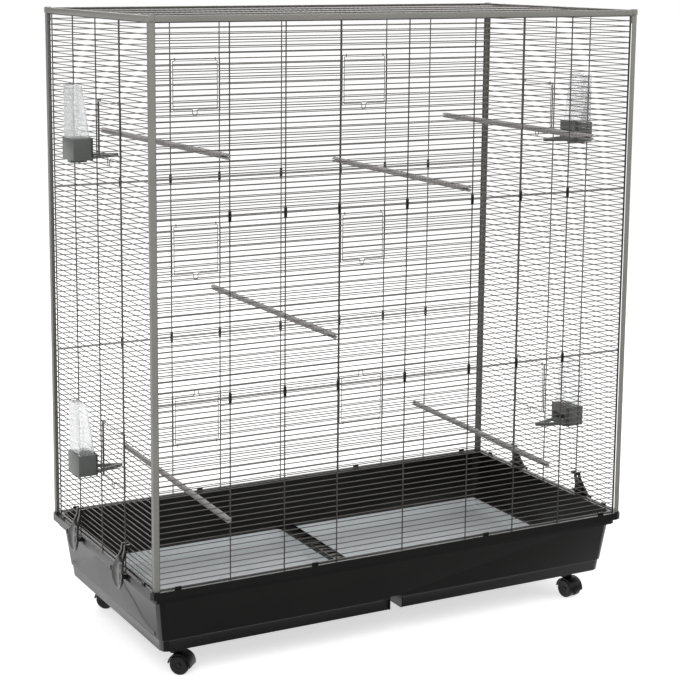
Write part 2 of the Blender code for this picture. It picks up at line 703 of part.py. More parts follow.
def doors():
    mesh = door_mesh()
    upside_down = Matrix.Rotation(math.radians(180), 4, "Z")
    for tier, row in BACK_DOOR_ROWS.items():
        for side, sign in (("left", 1), ("right", -1)):
            at_foot = tier == "lower"
            hinge_row = row if at_foot else row + DOOR_ROWS
            place = wall_frame("back") @ Matrix.Translation((sign * DOOR_CENTRE, hinge_row * PITCH, 0))
            if at_foot:
                place = place @ upside_down
            add_part(f"back_door_{side}_{tier}", mesh, DARK_WIRE, place)
    for side in ("left", "right"):
        for tier, row in SIDE_DOOR_ROWS.items():
            height = (row + DOOR_ROWS) * PITCH
            place = wall_frame(side) @ Matrix.Translation((SIDE_COLUMN / 2, height, 0))
            add_part(f"{side}_door_{tier}", mesh, DARK_WIRE, place)


def trough_mesh():
    """The seed trough outside the panel, its collar through the opening and its perch inside.

    Its heights start at the rung below the opening.
    """
    opening = FEEDER_OPENING_ROWS * PITCH
    low, high = RUNG_FACE + CLEARANCE, opening - RUNG_FACE - CLEARANCE
    front = RUNG_FACE + CLEARANCE
    back = front + TROUGH_DEPTH
    half = TROUGH_WIDTH / 2
    body = box((-half, low, front), (half, high, back))
    spout, inside, outside = SPOUT_WIDTH / 2, front + TROUGH_WALL, back - TROUGH_WALL
    funnel = box((-spout, low - SPOUT_HEIGHT, inside), (spout, low + TROUGH_WALL, outside))
    body = boolean(body, "UNION", [funnel])
    half_collar, collar_in = COLLAR_WIDTH / 2, front - COLLAR_DEPTH
    collar_low, collar_high = low + CLEARANCE, high - CLEARANCE
    lap = front + TROUGH_WALL / 2
    collar = box((-half_collar, collar_low, collar_in), (half_collar, collar_high, lap))
    body = boolean(body, "UNION", [collar])
    tip = collar_in - V_PERCH_REACH
    root = front - COLLAR_DEPTH / 2
    nose, root_half = V_PERCH_BAR / 2, half_collar - V_PERCH_INSET
    outline = [(-root_half, root), (root_half, root), (nose, tip), (-nose, tip)]
    slope = (root_half - nose) / (root - tip)
    inner_root = collar_in - V_PERCH_BAR
    inner_half = nose + slope * (inner_root - tip) - V_PERCH_BAR
    hole = [(-inner_half, inner_root), (inner_half, inner_root), (0, tip + V_PERCH_NOSE)]
    perch_low = low + TROUGH_WALL
    loop = plate(outline, -perch_low - V_PERCH_BAR, -perch_low, [hole], FLATWAYS)
    body = boolean(body, "UNION", [loop])
    inner_half = half - TROUGH_WALL
    hollow = box((-inner_half, low + TROUGH_WALL, inside), (inner_half, high + TROUGH_WALL, outside))
    body = boolean(body, "DIFFERENCE", [hollow])
    window_low, window_high = low + WINDOW_LOW, low + WINDOW_HIGH
    window_in, window_out = collar_in - TROUGH_WALL, inside + TROUGH_WALL
    half_window = WINDOW_WIDTH / 2
    window = box((-half_window, window_low, window_in), (half_window, window_high, window_out))
    body = boolean(body, "DIFFERENCE", [window])
    ledge_low, near, far = window_high - TROUGH_WALL, inside + LEDGE_INSET, outside - LEDGE_INSET
    edge = half - TROUGH_WALL / 2
    ledges = [
        box((-edge, ledge_low, near), (-inner_half + LEDGE_WIDTH, window_high, far)),
        box((inner_half - LEDGE_WIDTH, ledge_low, near), (edge, window_high, far)),
    ]
    return boolean(body, "UNION", ledges)


def silo_mesh():
    """A clear hopper, open below, whose front leans away from the wires."""
    front = RUNG_FACE + CLEARANCE + TROUGH_WALL + SILO_PLAY
    back = RUNG_FACE + CLEARANCE + TROUGH_DEPTH - TROUGH_WALL - SILO_PLAY
    half = TROUGH_WIDTH / 2 - TROUGH_WALL - SILO_PLAY
    low = RUNG_FACE + CLEARANCE + WINDOW_HIGH + CLEARANCE
    shoulder = FEEDER_OPENING_ROWS * PITCH
    high = low + SILO_HEIGHT
    outline = [(front, low), (back, low), (back, high), (back - SILO_TOP_DEPTH, high), (front, shoulder)]
    outer = plate(outline, -half, half, matrix=SIDEWAYS)
    wall = SILO_WALL
    lean = math.atan2(back - SILO_TOP_DEPTH - front, high - shoulder)
    inner = [
        (front + wall, low - wall),
        (back - wall, low - wall),
        (back - wall, high - wall),
        (back - SILO_TOP_DEPTH + wall / math.cos(lean) - wall * math.tan(lean), high - wall),
        (front + wall, shoulder),
    ]
    hollow = plate(inner, -half + wall, half - wall, matrix=SIDEWAYS)
    return boolean(outer, "DIFFERENCE", [hollow])


def feeders():
    trough, silo = trough_mesh(), silo_mesh()
    for side in ("left", "right"):
        for tier, row in FEEDER_ROWS.items():
            place = wall_frame(side) @ Matrix.Translation((-SIDE_COLUMN / 2, row * PITCH, 0))
            add_part(f"feeder_trough_{side}_{tier}", trough, TROUGH_PLASTIC, place)
            add_part(f"feeder_silo_{side}_{tier}", silo, CLEAR_PLASTIC, place)


def lever_mesh():
    """About its pin: the side profile kept within the front outline, with a pin stub each side."""
    hook_low = LEVER_HOOK_ROW * PITCH + RUNG_FACE + CLEARANCE
    hook_high = hook_low + PRONG_HEIGHT
    near, far = LEVER_OUT, LEVER_OUT + LEVER_THICKNESS
    neck_in = UPRIGHT_OUT + CLEARANCE * 2
    neck_out = neck_in + LEVER_NECK
    bend = hook_low - PRONG_BEND
    side = [
        (near + LEVER_SWELL, -LEVER_DROP),
        (far - LEVER_SWELL, -LEVER_DROP),
        (far + LEVER_SWELL, -LEVER_BELLY),
        (far, 0),
        ((far + neck_out) / 2 + LEVER_SWELL, LEVER_SHOULDER),
        (neck_out, bend),
        (neck_out - LEVER_SWELL, hook_high),
        (-PRONG_REACH, hook_high),
        (-PRONG_REACH, hook_low),
        (neck_in, hook_low),
        (neck_in, bend - 2 * LEVER_SWELL),
        ((near + neck_in) / 2, LEVER_SHOULDER),
        (near, 0),
    ]
    thick = plate(side, -LEVER_WIDTH / 2, LEVER_WIDTH / 2, matrix=SIDEWAYS)
    half, shoulder, top = LEVER_WIDTH / 2 - CLEARANCE, LEVER_SHOULDER_WIDTH / 2, LEVER_TOP_WIDTH / 2
    slot, above = LEVER_SLOT / 2, hook_high + PRONG_HEIGHT
    drop = (LEVER_DROP - CLEARANCE) / half
    foot = [(x, y * drop) for x, y in arc((0, 0), half, *LEVER_FOOT_ARC, 6)]
    front = [
        *foot,
        (half, -PIVOT_DROP),
        (shoulder, LEVER_SHOULDER),
        (top, LEVER_NECK_HEIGHT),
        (top, above),
        (slot, above),
        (slot, LEVER_SLOT_LOW),
        (-slot, LEVER_SLOT_LOW),
        (-slot, above),
        (-top, above),
        (-top, LEVER_NECK_HEIGHT),
        (-shoulder, LEVER_SHOULDER),
        (-half, -PIVOT_DROP),
    ]
    shape = boolean(thick, "INTERSECT", [plate(front, -PRONG_REACH * 2, far * 2)])
    shape.transform(Matrix.Translation((0, PIVOT_DROP, -PIVOT_OUT)))
    root, end = half - PIN_LENGTH, half + PIN_LENGTH
    pins = [rod(PIN_RADIUS, (sign * root, 0, 0), (sign * end, 0, 0), 8) for sign in (-1, 1)]
    return smooth(boolean(shape, "UNION", pins))


def levers():
    mesh = lever_mesh()
    for side, front_sign in (("left", 1), ("right", -1)):
        for name, sign in (("front", front_sign), ("back", -front_sign)):
            pivot = Matrix.Translation((sign * SIDE_COLUMN, -PIVOT_DROP, PIVOT_OUT))
            add_part(f"base_lever_{side}_{name}", mesh, SMOKED_PLASTIC, wall_frame(side) @ pivot)


def castor_housing_mesh():
    """About the floor point under its stem: wheel centre at -X by the trail, axle along Y."""
    axle = (-TRAIL, WHEEL_RADIUS)
    neck_top = CASTOR_HEIGHT - SOCKET_PAD_HEIGHT - CLEARANCE
    web_half = WHEEL_GAP / 2 - CLEARANCE
    hood_in = HOOD_RADIUS - HOOD_THICKNESS
    hood_middle = HOOD_RADIUS - HOOD_THICKNESS / 2
    hood_half = WHEEL_GAP / 2 + WHEEL_WIDTH + CLEARANCE
    boss = HUB_RADIUS * 2
    web = [
        (axle[0] - boss, axle[1] - boss),
        (axle[0] + boss, axle[1] - boss),
        *arc(axle, hood_middle, *WEB_ARC, 4),
    ]
    hole = polygon(axle, HUB_RADIUS + CLEARANCE, 6)
    housing = plate(web, -web_half, web_half, [hole], FLATWAYS)
    hood = arc(axle, HOOD_RADIUS, *HOOD_ARC, 7) + arc(axle, hood_in, *reversed(HOOD_ARC), 7)
    housing = boolean(housing, "UNION", [plate(hood, -hood_half, hood_half, matrix=FLATWAYS)])
    neck_end = NECK_LENGTH / 2
    neck = [
        *arc(axle, hood_middle, *NECK_ARC, 2),
        (axle[0], neck_top),
        (neck_end, neck_top),
        (neck_end, neck_top - NECK_HEIGHT),
    ]
    housing = boolean(housing, "UNION", [plate(neck, -NECK_WIDTH / 2, NECK_WIDTH / 2, matrix=FLATWAYS)])
    stem = rod(STEM_RADIUS, (0, 0, neck_top - HOOD_THICKNESS), (0, 0, neck_top + STEM_LENGTH), 8)
    return smooth(boolean(housing, "UNION", [stem]))


def wheels_mesh():
    """Two discs on one hub, turned about the axle along Y."""
    outer, inner = WHEEL_GAP / 2 + WHEEL_WIDTH, WHEEL_GAP / 2
    half = [(0, outer), (WHEEL_RADIUS, outer), (WHEEL_RADIUS, inner), (HUB_RADIUS, inner)]
    profile = half + [(r, -y) for r, y in reversed(half)]
    shape = bmesh.new()
    verts = [shape.verts.new((r, 0, z)) for r, z in profile]
    for pair in zip(verts, verts[1:]):
        shape.edges.new(pair)
    mesh = bpy.data.meshes.new("wheels")
    shape.to_mesh(mesh)
    shape.free()
    turn = {
        "steps": WHEEL_STEPS,
        "render_steps": WHEEL_STEPS,
        "axis": "Z",
        "use_merge_vertices": True,
        "merge_threshold": 0.1 * MM,
    }
    mesh = evaluated(mesh, [("SCREW", turn)])
    mesh.transform(FLATWAYS)
    return smooth(mesh)


def castors():
    housing, wheels = castor_housing_mesh(), wheels_mesh()
    for name, (x, y) in castor_places().items():
        swivel = bpy.data.objects.new(f"swivel_{name}", None)
        bpy.data.collections["bird_cage"].objects.link(swivel)
        turn = Matrix.Rotation(math.radians(CASTOR_TURNS[name]), 4, "Z")
        swivel.matrix_world = Matrix.Translation((x, y, 0)) @ turn
        place = swivel.matrix_world
        add_part(f"castor_housing_{name}", housing, CASTOR_PLASTIC, place, swivel)
        axle = place @ Matrix.Translation((-TRAIL, 0, WHEEL_RADIUS))
        add_part(f"castor_wheels_{name}", wheels, CASTOR_PLASTIC, axle, swivel)


def main():
    clear_scene()
    new_collection("bird_cage")
    new_collection("cutters")
    base_tray()
    floor_trays()
    angle_frame()
    roof()
    long_wall("front", with_doors=False)
    long_wall("back", with_doors=True)
    side_walls()
    doors()
    levers()
    perches()
    feeders()
    castors()


main()
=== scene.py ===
# Bird cage on castors: its looks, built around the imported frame
import json
import math

import bmesh
import bpy
from mathutils import Matrix, Vector

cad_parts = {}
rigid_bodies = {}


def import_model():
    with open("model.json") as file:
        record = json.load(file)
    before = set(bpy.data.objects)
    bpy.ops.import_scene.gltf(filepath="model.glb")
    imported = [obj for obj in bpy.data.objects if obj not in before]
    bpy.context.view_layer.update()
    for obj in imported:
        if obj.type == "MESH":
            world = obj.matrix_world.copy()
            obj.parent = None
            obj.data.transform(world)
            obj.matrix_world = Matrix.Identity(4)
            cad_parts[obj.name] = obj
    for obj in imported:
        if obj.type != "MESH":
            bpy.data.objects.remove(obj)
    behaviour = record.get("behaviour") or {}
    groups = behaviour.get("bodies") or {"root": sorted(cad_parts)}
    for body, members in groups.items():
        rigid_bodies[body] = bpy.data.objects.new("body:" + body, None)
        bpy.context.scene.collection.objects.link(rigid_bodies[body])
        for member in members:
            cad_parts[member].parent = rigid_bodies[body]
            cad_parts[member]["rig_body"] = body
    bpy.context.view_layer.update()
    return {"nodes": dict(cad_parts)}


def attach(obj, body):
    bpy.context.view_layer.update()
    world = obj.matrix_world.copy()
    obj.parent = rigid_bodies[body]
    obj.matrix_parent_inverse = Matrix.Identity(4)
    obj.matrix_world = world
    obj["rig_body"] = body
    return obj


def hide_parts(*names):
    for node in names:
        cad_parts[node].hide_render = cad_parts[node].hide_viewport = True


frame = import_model()
nodes = frame["nodes"]
print("frame loaded with", len(nodes), "nodes")

mm = 0.001

# Sizes that several pieces share
cage = {
    "halfX": 576 * mm,
    "halfY": 288 * mm,
    "rimTop": 214 * mm,
    "frameTop": 1366 * mm,
    "angle": 12 * mm,
    "pitch": 12 * mm,
    "play": 0.3 * mm,
    "rungRadius": 1.1 * mm,
    "uprightRadius": 1.4 * mm,
    "uprightOut": 2.4 * mm,  # uprights are welded on outside the rungs
    "rows": 95,  # of wires, from the rim to the roof
    "tiers": (("lower", 0, 32), ("middle", 32, 63), ("upper", 63, 95)),  # name, first row, last row
    "sideUprights": (-132 * mm, 0, 132 * mm),
}

# How close two points are to be one, and the angles of edges in degrees
meshing = {
    "double": 0.005 * mm,
    "cadDouble": 0.01 * mm,
    "flatUnder": 1,
    "roundOver": 40,
    "shadeSharpOver": 38,
}


def linear(hexColour):
    channels = [int(hexColour[i : i + 2], 16) / 255 for i in (1, 3, 5)]
    return (*[c / 12.92 if c <= 0.04045 else ((c + 0.055) / 1.055) ** 2.4 for c in channels], 1)


def addNode(tree, kind, inputs=None, **settings):
    # A Mix node's inputs go by number: 0 its factor, 2 and 3 two values, 6 and 7 two colours
    node = tree.nodes.new(kind)
    for setting, value in settings.items():
        setattr(node, setting, value)
    for socket, value in (inputs or {}).items():
        if isinstance(value, bpy.types.NodeSocket):
            tree.links.new(value, node.inputs[socket])
        else:
            node.inputs[socket].default_value = value
    return node


def startMaterial(name, constants):
    material = bpy.data.materials.new(name)
    material.use_nodes = True
    tree = material.node_tree
    shader = tree.nodes["Principled BSDF"]
    for socket, value in constants.items():
        shader.inputs[socket].default_value = value
    where = addNode(tree, "ShaderNodeTexCoord").outputs["Object"]
    return material, tree, shader, where


def connect(tree, source, shader, socket):
    tree.links.new(source, shader.inputs[socket])


def powderCoatedSteel(paint):
    # Steel angle, powder coated: an even silky grey with faint orange peel and fine pale flecks
    material, tree, shader, where = startMaterial("powderCoatedSteel", {"IOR": 1.5, "Metallic": 0.1})
    drift = addNode(
        tree, "ShaderNodeTexNoise", {"Vector": where, "Scale": 1 / paint["driftSize"], "Detail": 3.0}
    )
    peel = addNode(
        tree, "ShaderNodeTexNoise", {"Vector": where, "Scale": 1 / paint["peelSize"], "Detail": 2.0}
    )
    fleck = addNode(
        tree, "ShaderNodeTexNoise", {"Vector": where, "Scale": 1 / paint["fleckSize"], "Detail": 1.0}
    )
    tone = addNode(
        tree,
        "ShaderNodeMix",
        {0: drift.outputs[0], 6: linear(paint["deep"]), 7: linear(paint["light"])},
        data_type="RGBA",
    )
    spots = addNode(
        tree,
        "ShaderNodeMapRange",
        {"Value": fleck.outputs[0], "From Min": 0.62, "From Max": 0.75, "To Max": paint["flecked"]},
    )
    speckled = addNode(
        tree,
        "ShaderNodeMix",
        {0: spots.outputs[0], 6: tone.outputs[2], 7: linear(paint["fleck"])},
        data_type="RGBA",
    )
    sheen = addNode(
        tree,
        "ShaderNodeMapRange",
        {"Value": peel.outputs[0], "To Min": paint["smooth"], "To Max": paint["rough"]},
    )
    bump = addNode(
        tree,
        "ShaderNodeBump",
        {"Height": peel.outputs[0], "Strength": 0.25, "Distance": paint["peelDepth"]},
    )
    connect(tree, speckled.outputs[2], shader, "Base Color")
    connect(tree, sheen.outputs[0], shader, "Roughness")
    connect(tree, bump.outputs[0], shader, "Normal")
    return material


def enamelledWire(paint):
    # Drawn steel wire under a thin grey-brown enamel: glossy, and duller where the skin is thicker
    material, tree, shader, where = startMaterial("enamelledWire", {"Metallic": 0.75})
    drift = addNode(
        tree, "ShaderNodeTexNoise", {"Vector": where, "Scale": 1 / paint["driftSize"], "Detail": 4.0}
    )
    skin = addNode(
        tree, "ShaderNodeTexNoise", {"Vector": where, "Scale": 1 / paint["skinSize"], "Detail": 2.0}
    )
    tone = addNode(
        tree,
        "ShaderNodeMix",
        {0: drift.outputs[0], 6: linear(paint["deep"]), 7: linear(paint["light"])},
        data_type="RGBA",
    )
    sheen = addNode(
        tree,
        "ShaderNodeMapRange",
        {"Value": drift.outputs[0], "To Min": paint["smooth"], "To Max": paint["rough"]},
    )
    bump = addNode(
        tree,
        "ShaderNodeBump",
        {"Height": skin.outputs[0], "Strength": 0.3, "Distance": paint["skinDepth"]},
    )
    connect(tree, tone.outputs[2], shader, "Base Color")
    connect(tree, sheen.outputs[0], shader, "Roughness")
    connect(tree, bump.outputs[0], shader, "Normal")
    return material


def injectionMoulded(name, paint):
    # Injection moulded plastic: cloudy flow marks, a fine spark-eroded grain and a few rubbed streaks
    material, tree, shader, where = startMaterial(name, {"IOR": paint["ior"]})
    clouds = addNode(
        tree, "ShaderNodeTexNoise", {"Vector": where, "Scale": 1 / paint["cloudSize"], "Detail": 3.0}
    )
    grain = addNode(
        tree, "ShaderNodeTexNoise", {"Vector": where, "Scale": 1 / paint["grainSize"], "Detail": 2.0}
    )
    across, along = 1 / moulding["streakWidth"], 1 / moulding["streakHeight"]
    drawn = addNode(tree, "ShaderNodeMapping", {"Vector": where, "Scale": (across, across, along)})
    streaks = addNode(
        tree,
        "ShaderNodeTexNoise",
        {"Vector": drawn.outputs[0], "Scale": 1.0, "Detail": 6.0, "Roughness": 0.7},
    )
    tone = addNode(
        tree,
        "ShaderNodeMix",
        {0: clouds.outputs[0], 6: linear(paint["deep"]), 7: linear(paint["light"])},
        data_type="RGBA",
    )
    rubbed = addNode(
        tree,
        "ShaderNodeMapRange",
        {"Value": streaks.outputs[0], "From Min": 0.6, "From Max": 0.8, "To Max": paint["wear"]},
    )
    worn = addNode(
        tree,
        "ShaderNodeMix",
        {0: rubbed.outputs[0], 6: tone.outputs[2], 7: linear(paint["rubbed"])},
        data_type="RGBA",
    )
    sheen = addNode(
        tree,
        "ShaderNodeMapRange",
        {"Value": clouds.outputs[0], "To Min": paint["smooth"], "To Max": paint["rough"]},
    )
    bump = addNode(
        tree,
        "ShaderNodeBump",
        {"Height": grain.outputs[0], "Strength": paint["relief"], "Distance": moulding["grainDepth"]},
    )
    connect(tree, worn.outputs[2], shader, "Base Color")
    connect(tree, sheen.outputs[0], shader, "Roughness")
    connect(tree, bump.outputs[0], shader, "Normal")
    return material


def clearPolystyrene(paint):
    # Thin clear polystyrene, scuffed by seed: a milky veil that thickens where the wall is seen edge on
    material, tree, shader, where = startMaterial(
        "clearPolystyrene",
        {"IOR": paint["ior"], "Base Color": linear(paint["tint"]), "Transmission Weight": paint["clear"]},
    )
    scuffs = addNode(
        tree, "ShaderNodeTexNoise", {"Vector": where, "Scale": 1 / paint["scuffSize"], "Detail": 5.0}
    )
    ripple = addNode(
        tree, "ShaderNodeTexNoise", {"Vector": where, "Scale": 1 / paint["rippleSize"], "Detail": 2.0}
    )
    edgeOn = addNode(tree, "ShaderNodeLayerWeight", {"Blend": 0.3}).outputs["Facing"]
    veil = addNode(
        tree,
        "ShaderNodeMapRange",
        {
            "Value": edgeOn,
            "From Min": 0.2,
            "From Max": 0.9,
            "To Min": paint["veil"],
            "To Max": paint["edge"],
        },
    )
    patchy = addNode(
        tree,
        "ShaderNodeMapRange",
        {"Value": scuffs.outputs[0], "From Min": 0.3, "From Max": 0.7, "To Min": 0.8, "To Max": 1.2},
    )
    alpha = addNode(
        tree, "ShaderNodeMath", {0: veil.outputs[0], 1: patchy.outputs[0]}, operation="MULTIPLY"
    )
    dull = addNode(
        tree,
        "ShaderNodeMapRange",
        {"Value": scuffs.outputs[0], "To Min": paint["smooth"], "To Max": paint["rough"]},
    )
    bump = addNode(
        tree,
        "ShaderNodeBump",
        {"Height": ripple.outputs[0], "Strength": 0.15, "Distance": paint["rippleDepth"]},
    )
    connect(tree, alpha.outputs[0], shader, "Alpha")
    connect(tree, dull.outputs[0], shader, "Roughness")
    connect(tree, bump.outputs[0], shader, "Normal")
    return material


def turnedPerchPlastic(paint):
    # Moulded perch with a bark-like grip: mottled grey, paler on the raised rings
    material, tree, shader, where = startMaterial("turnedPerchPlastic", {"IOR": 1.49})
    bark = addNode(
        tree,
        "ShaderNodeTexNoise",
        {"Vector": where, "Scale": 1 / paint["barkSize"], "Detail": 4.0, "Roughness": 0.65},
    )
    # A Wave node turns by 20 radians for each unit
    bands = addNode(
        tree,
        "ShaderNodeTexWave",
        {"Vector": where, "Scale": math.tau / 20 / paint["bandPitch"], "Distortion": 3.0, "Detail": 2.0},
        bands_direction="Y",
    )
    mixed = addNode(
        tree, "ShaderNodeMath", {0: bark.outputs[0], 1: bands.outputs["Fac"]}, operation="MULTIPLY"
    )
    tone = addNode(
        tree,
        "ShaderNodeMix",
        {0: mixed.outputs[0], 6: linear(paint["deep"]), 7: linear(paint["light"])},
        data_type="RGBA",
    )
    bump = addNode(
        tree,
        "ShaderNodeBump",
        {"Height": bark.outputs[0], "Strength": 0.5, "Distance": paint["barkDepth"]},
    )
    rough = addNode(
        tree,
        "ShaderNodeMapRange",
        {"Value": bark.outputs[0], "To Min": paint["smooth"], "To Max": paint["rough"]},
    )
    connect(tree, tone.outputs[2], shader, "Base Color")
    connect(tree, rough.outputs[0], shader, "Roughness")
    connect(tree, bump.outputs[0], shader, "Normal")
    return material


# Peel, flecks, skin and grain are finer on the real thing: they are drawn as coarse as it takes to show
moulding = {"grainDepth": 0.15 * mm, "streakWidth": 104 * mm, "streakHeight": 4.46 * mm}
framePaint = {
    "deep": "#7f7e7a",
    "light": "#8f8e88",
    "fleck": "#adafa8",
    "driftSize": 111 * mm,
    "peelSize": 2.38 * mm,
    "peelDepth": 0.12 * mm,
    "fleckSize": 1.11 * mm,
    "flecked": 0.35,
    "smooth": 0.34,
    "rough": 0.48,
}
wirePaint = {
    "deep": "#55524f",
    "light": "#787572",
    "driftSize": 33.3 * mm,
    "skinSize": 1.67 * mm,
    "skinDepth": 0.1 * mm,
    "smooth": 0.24,
    "rough": 0.42,
}
basePaint = {
    "deep": "#0d0c0c",
    "light": "#151413",
    "rubbed": "#232120",
    "ior": 1.49,
    "cloudSize": 143 * mm,
    "grainSize": 1.43 * mm,
    "wear": 0.3,
    "smooth": 0.24,
    "rough": 0.36,
    "relief": 0.12,
}
trayPaint = {
    "deep": "#d3d8d9",
    "light": "#e0e4e6",
    "rubbed": "#e8ebeb",
    "ior": 1.49,
    "cloudSize": 200 * mm,
    "grainSize": 1.92 * mm,
    "wear": 0.4,
    "smooth": 0.38,
    "rough": 0.55,
    "relief": 0.25,
}
troughPaint = {
    "deep": "#565a57",
    "light": "#656966",
    "rubbed": "#777b78",
    "ior": 1.52,
    "cloudSize": 33.3 * mm,
    "grainSize": 1.25 * mm,
    "wear": 0.25,
    "smooth": 0.3,
    "rough": 0.45,
    "relief": 0.2,
}
leverPaint = {
    "deep": "#171514",
    "light": "#211e1c",
    "rubbed": "#3a3633",
    "ior": 1.54,
    "cloudSize": 40 * mm,
    "grainSize": 2 * mm,
    "wear": 0.2,
    "smooth": 0.1,
    "rough": 0.22,
    "relief": 0.05,
}
castorPaint = {
    "deep": "#0b0b0b",
    "light": "#121211",
    "rubbed": "#22211f",
    "ior": 1.35,  # nylon has 1.53, but the castors show less gloss
    "cloudSize": 16.7 * mm,
    "grainSize": 1.11 * mm,
    "wear": 0.35,
    "smooth": 0.3,
    "rough": 0.5,
    "relief": 0.25,
}
perchPaint = {
    "deep": "#858280",
    "light": "#b0adaa",
    "barkSize": 10.5 * mm,
    "barkDepth": 0.4 * mm,
    "bandPitch": 12.1 * mm,
    "smooth": 0.36,
    "rough": 0.56,
}
siloPaint = {
    "tint": "#fbfcfd",
    "ior": 1.3,  # polystyrene has 1.59, but so thin a wall bends less light
    "clear": 0.8,
    "veil": 0.42,
    "edge": 0.85,
    "scuffSize": 38.5 * mm,
    "rippleSize": 22.2 * mm,
    "rippleDepth": 0.4 * mm,
    "smooth": 0.1,
    "rough": 0.25,
}

# Each finish is named for its slot in the record
finishes = {
    "grey_paint": powderCoatedSteel(framePaint),
    "dark_wire": enamelledWire(wirePaint),
    "black_plastic": injectionMoulded("blackPolypropylene", basePaint),
    "pale_plastic": injectionMoulded("palePolypropylene", trayPaint),
    "perch_plastic": turnedPerchPlastic(perchPaint),
    "trough_plastic": injectionMoulded("greyAbs", troughPaint),
    "smoked_plastic": injectionMoulded("glossyBlackAbs", leverPaint),
    "clear_plastic": clearPolystyrene(siloPaint),
    "castor_plastic": injectionMoulded("castorNylon", castorPaint),
}
print("materials made:", len(finishes))


def wallPlace(side):
    # Local X along the wall, Y up from the rim, Z outwards from the wire plane
    turn, distance = {
        "front": (0, cage["halfY"]),
        "right": (90, cage["halfX"]),
        "back": (180, cage["halfY"]),
        "left": (270, cage["halfX"]),
    }[side]
    spin = Matrix.Rotation(math.radians(turn), 4, "Z")
    upright = Matrix.Rotation(math.radians(90), 4, "X")
    return spin @ Matrix.Translation((0, -distance, cage["rimTop"])) @ upright


def shift(x, y, z):
    return Matrix.Translation((x, y, z))


def addRod(shape, start, end, radius, sides=8):
    start, end = Vector(start), Vector(end)
    turn = (end - start).to_track_quat("Z", "Y").to_matrix().to_4x4()
    bmesh.ops.create_cone(
        shape,
        cap_ends=True,
        segments=sides,
        radius1=radius,
        radius2=radius,
        depth=(end - start).length,
        matrix=Matrix.Translation((start + end) / 2) @ turn,
    )


def bendWire(shape, points, radius, sides=8):
    # A ring of points walks along the line, turning with it
    points = [Vector(point) for point in points]
    steps = [(b - a).normalized() for a, b in zip(points, points[1:])]
    heading = steps[0]
    turn = heading.to_track_quat("Z", "Y").to_matrix().to_4x4()
    ring = bmesh.ops.create_circle(
        shape, cap_ends=True, radius=radius, segments=sides, matrix=Matrix.Translation(points[0]) @ turn
    )["verts"]
    edges = list({edge for vert in ring for edge in vert.link_edges})
    for index, point in enumerate(points[1:]):
        grown = bmesh.ops.extrude_edge_only(shape, edges=edges)["geom"]
        ring = [item for item in grown if isinstance(item, bmesh.types.BMVert)]
        edges = [item for item in grown if isinstance(item, bmesh.types.BMEdge)]
        bmesh.ops.translate(shape, verts=ring, vec=point - points[index])
        onward = (steps[index] + steps[min(index + 1, len(steps) - 1)]).normalized()
        bmesh.ops.rotate(
            shape, verts=ring, cent=point, matrix=heading.rotation_difference(onward).to_matrix()
        )
        heading = onward
    bmesh.ops.contextual_create(shape, geom=edges)


def spinProfile(profile, steps, angle=math.tau):
    # (radius, height) points turned about Z; a part turn is closed at both ends
    shape = bmesh.new()
    verts = [shape.verts.new((radius, 0, height)) for radius, height in profile]
    closed = angle < math.tau
    pairs = zip(verts, verts[1:] + verts[:1]) if closed else zip(verts, verts[1:])
    edges = [shape.edges.new(pair) for pair in pairs]
    spun = bmesh.ops.spin(
        shape,
        geom=verts + edges,
        axis=(0, 0, 1),
        cent=(0, 0, 0),
        angle=angle,
        steps=steps,
        use_merge=not closed,
    )
    if closed:
        bmesh.ops.contextual_create(shape, geom=edges)
        far = [item for item in spun["geom_last"] if isinstance(item, bmesh.types.BMEdge)]
        bmesh.ops.contextual_create(shape, geom=far)
    return shape


def softBox(low, high, radius, segments=2):
    low, high = Vector(low), Vector(high)
    shape = bmesh.new()
    size = Matrix.Diagonal((*(high - low), 1))
    bmesh.ops.create_cube(shape, size=1, matrix=Matrix.Translation((low + high) / 2) @ size)
    bmesh.ops.bevel(
        shape,
        geom=shape.edges[:],
        offset=radius,
        segments=segments,
        profile=0.5,
        affect="EDGES",
        material=-1,
    )
    return shape


def asMesh(shape):
    bmesh.ops.remove_doubles(shape, verts=shape.verts, dist=meshing["double"])
    bmesh.ops.recalc_face_normals(shape, faces=shape.faces)
    mesh = bpy.data.meshes.new("stamp")
    shape.to_mesh(mesh)
    shape.free()
    return mesh


def stamp(shape, mesh, place):
    copy = mesh.copy()
    copy.transform(place)
    shape.from_mesh(copy)
    bpy.data.meshes.remove(copy)


def cleaned(nodeName):
    # The node's own solid, its flat faces whole again
    shape = bmesh.new()
    shape.from_mesh(nodes[nodeName].data)
    bmesh.ops.remove_doubles(shape, verts=shape.verts, dist=meshing["cadDouble"])
    bmesh.ops.dissolve_limit(
        shape,
        angle_limit=math.radians(meshing["flatUnder"]),
        verts=shape.verts[:],
        edges=shape.edges[:],
    )
    return shape


def rounded(shape, radius, segments=2):
    limit = math.radians(meshing["roundOver"])
    sharp = [edge for edge in shape.edges if edge.is_manifold and edge.calc_face_angle() > limit]
    bmesh.ops.bevel(
        shape,
        geom=sharp,
        offset=radius,
        offset_type="OFFSET",
        segments=segments,
        profile=0.5,
        affect="EDGES",
        clamp_overlap=True,
        material=-1,
    )
    return shape


def softened(nodeName, radius, segments=2):
    # The node's own solid with its sharp edges rounded
    return rounded(cleaned(nodeName), radius, segments)


def addPiece(name, shape, finish, body, replaced=(), sharp=meshing["shadeSharpOver"]):
    mesh = bpy.data.meshes.new(name)
    shape.to_mesh(mesh)
    shape.free()
    mesh.materials.append(finishes[finish])
    mesh.shade_smooth()
    mesh.set_sharp_from_angle(angle=math.radians(sharp))
    piece = bpy.data.objects.new(name, mesh)
    bpy.context.scene.collection.objects.link(piece)
    if replaced:
        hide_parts(*replaced)
    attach(piece, body)


def bodyOf(nodeName):
    return nodes[nodeName]["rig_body"]


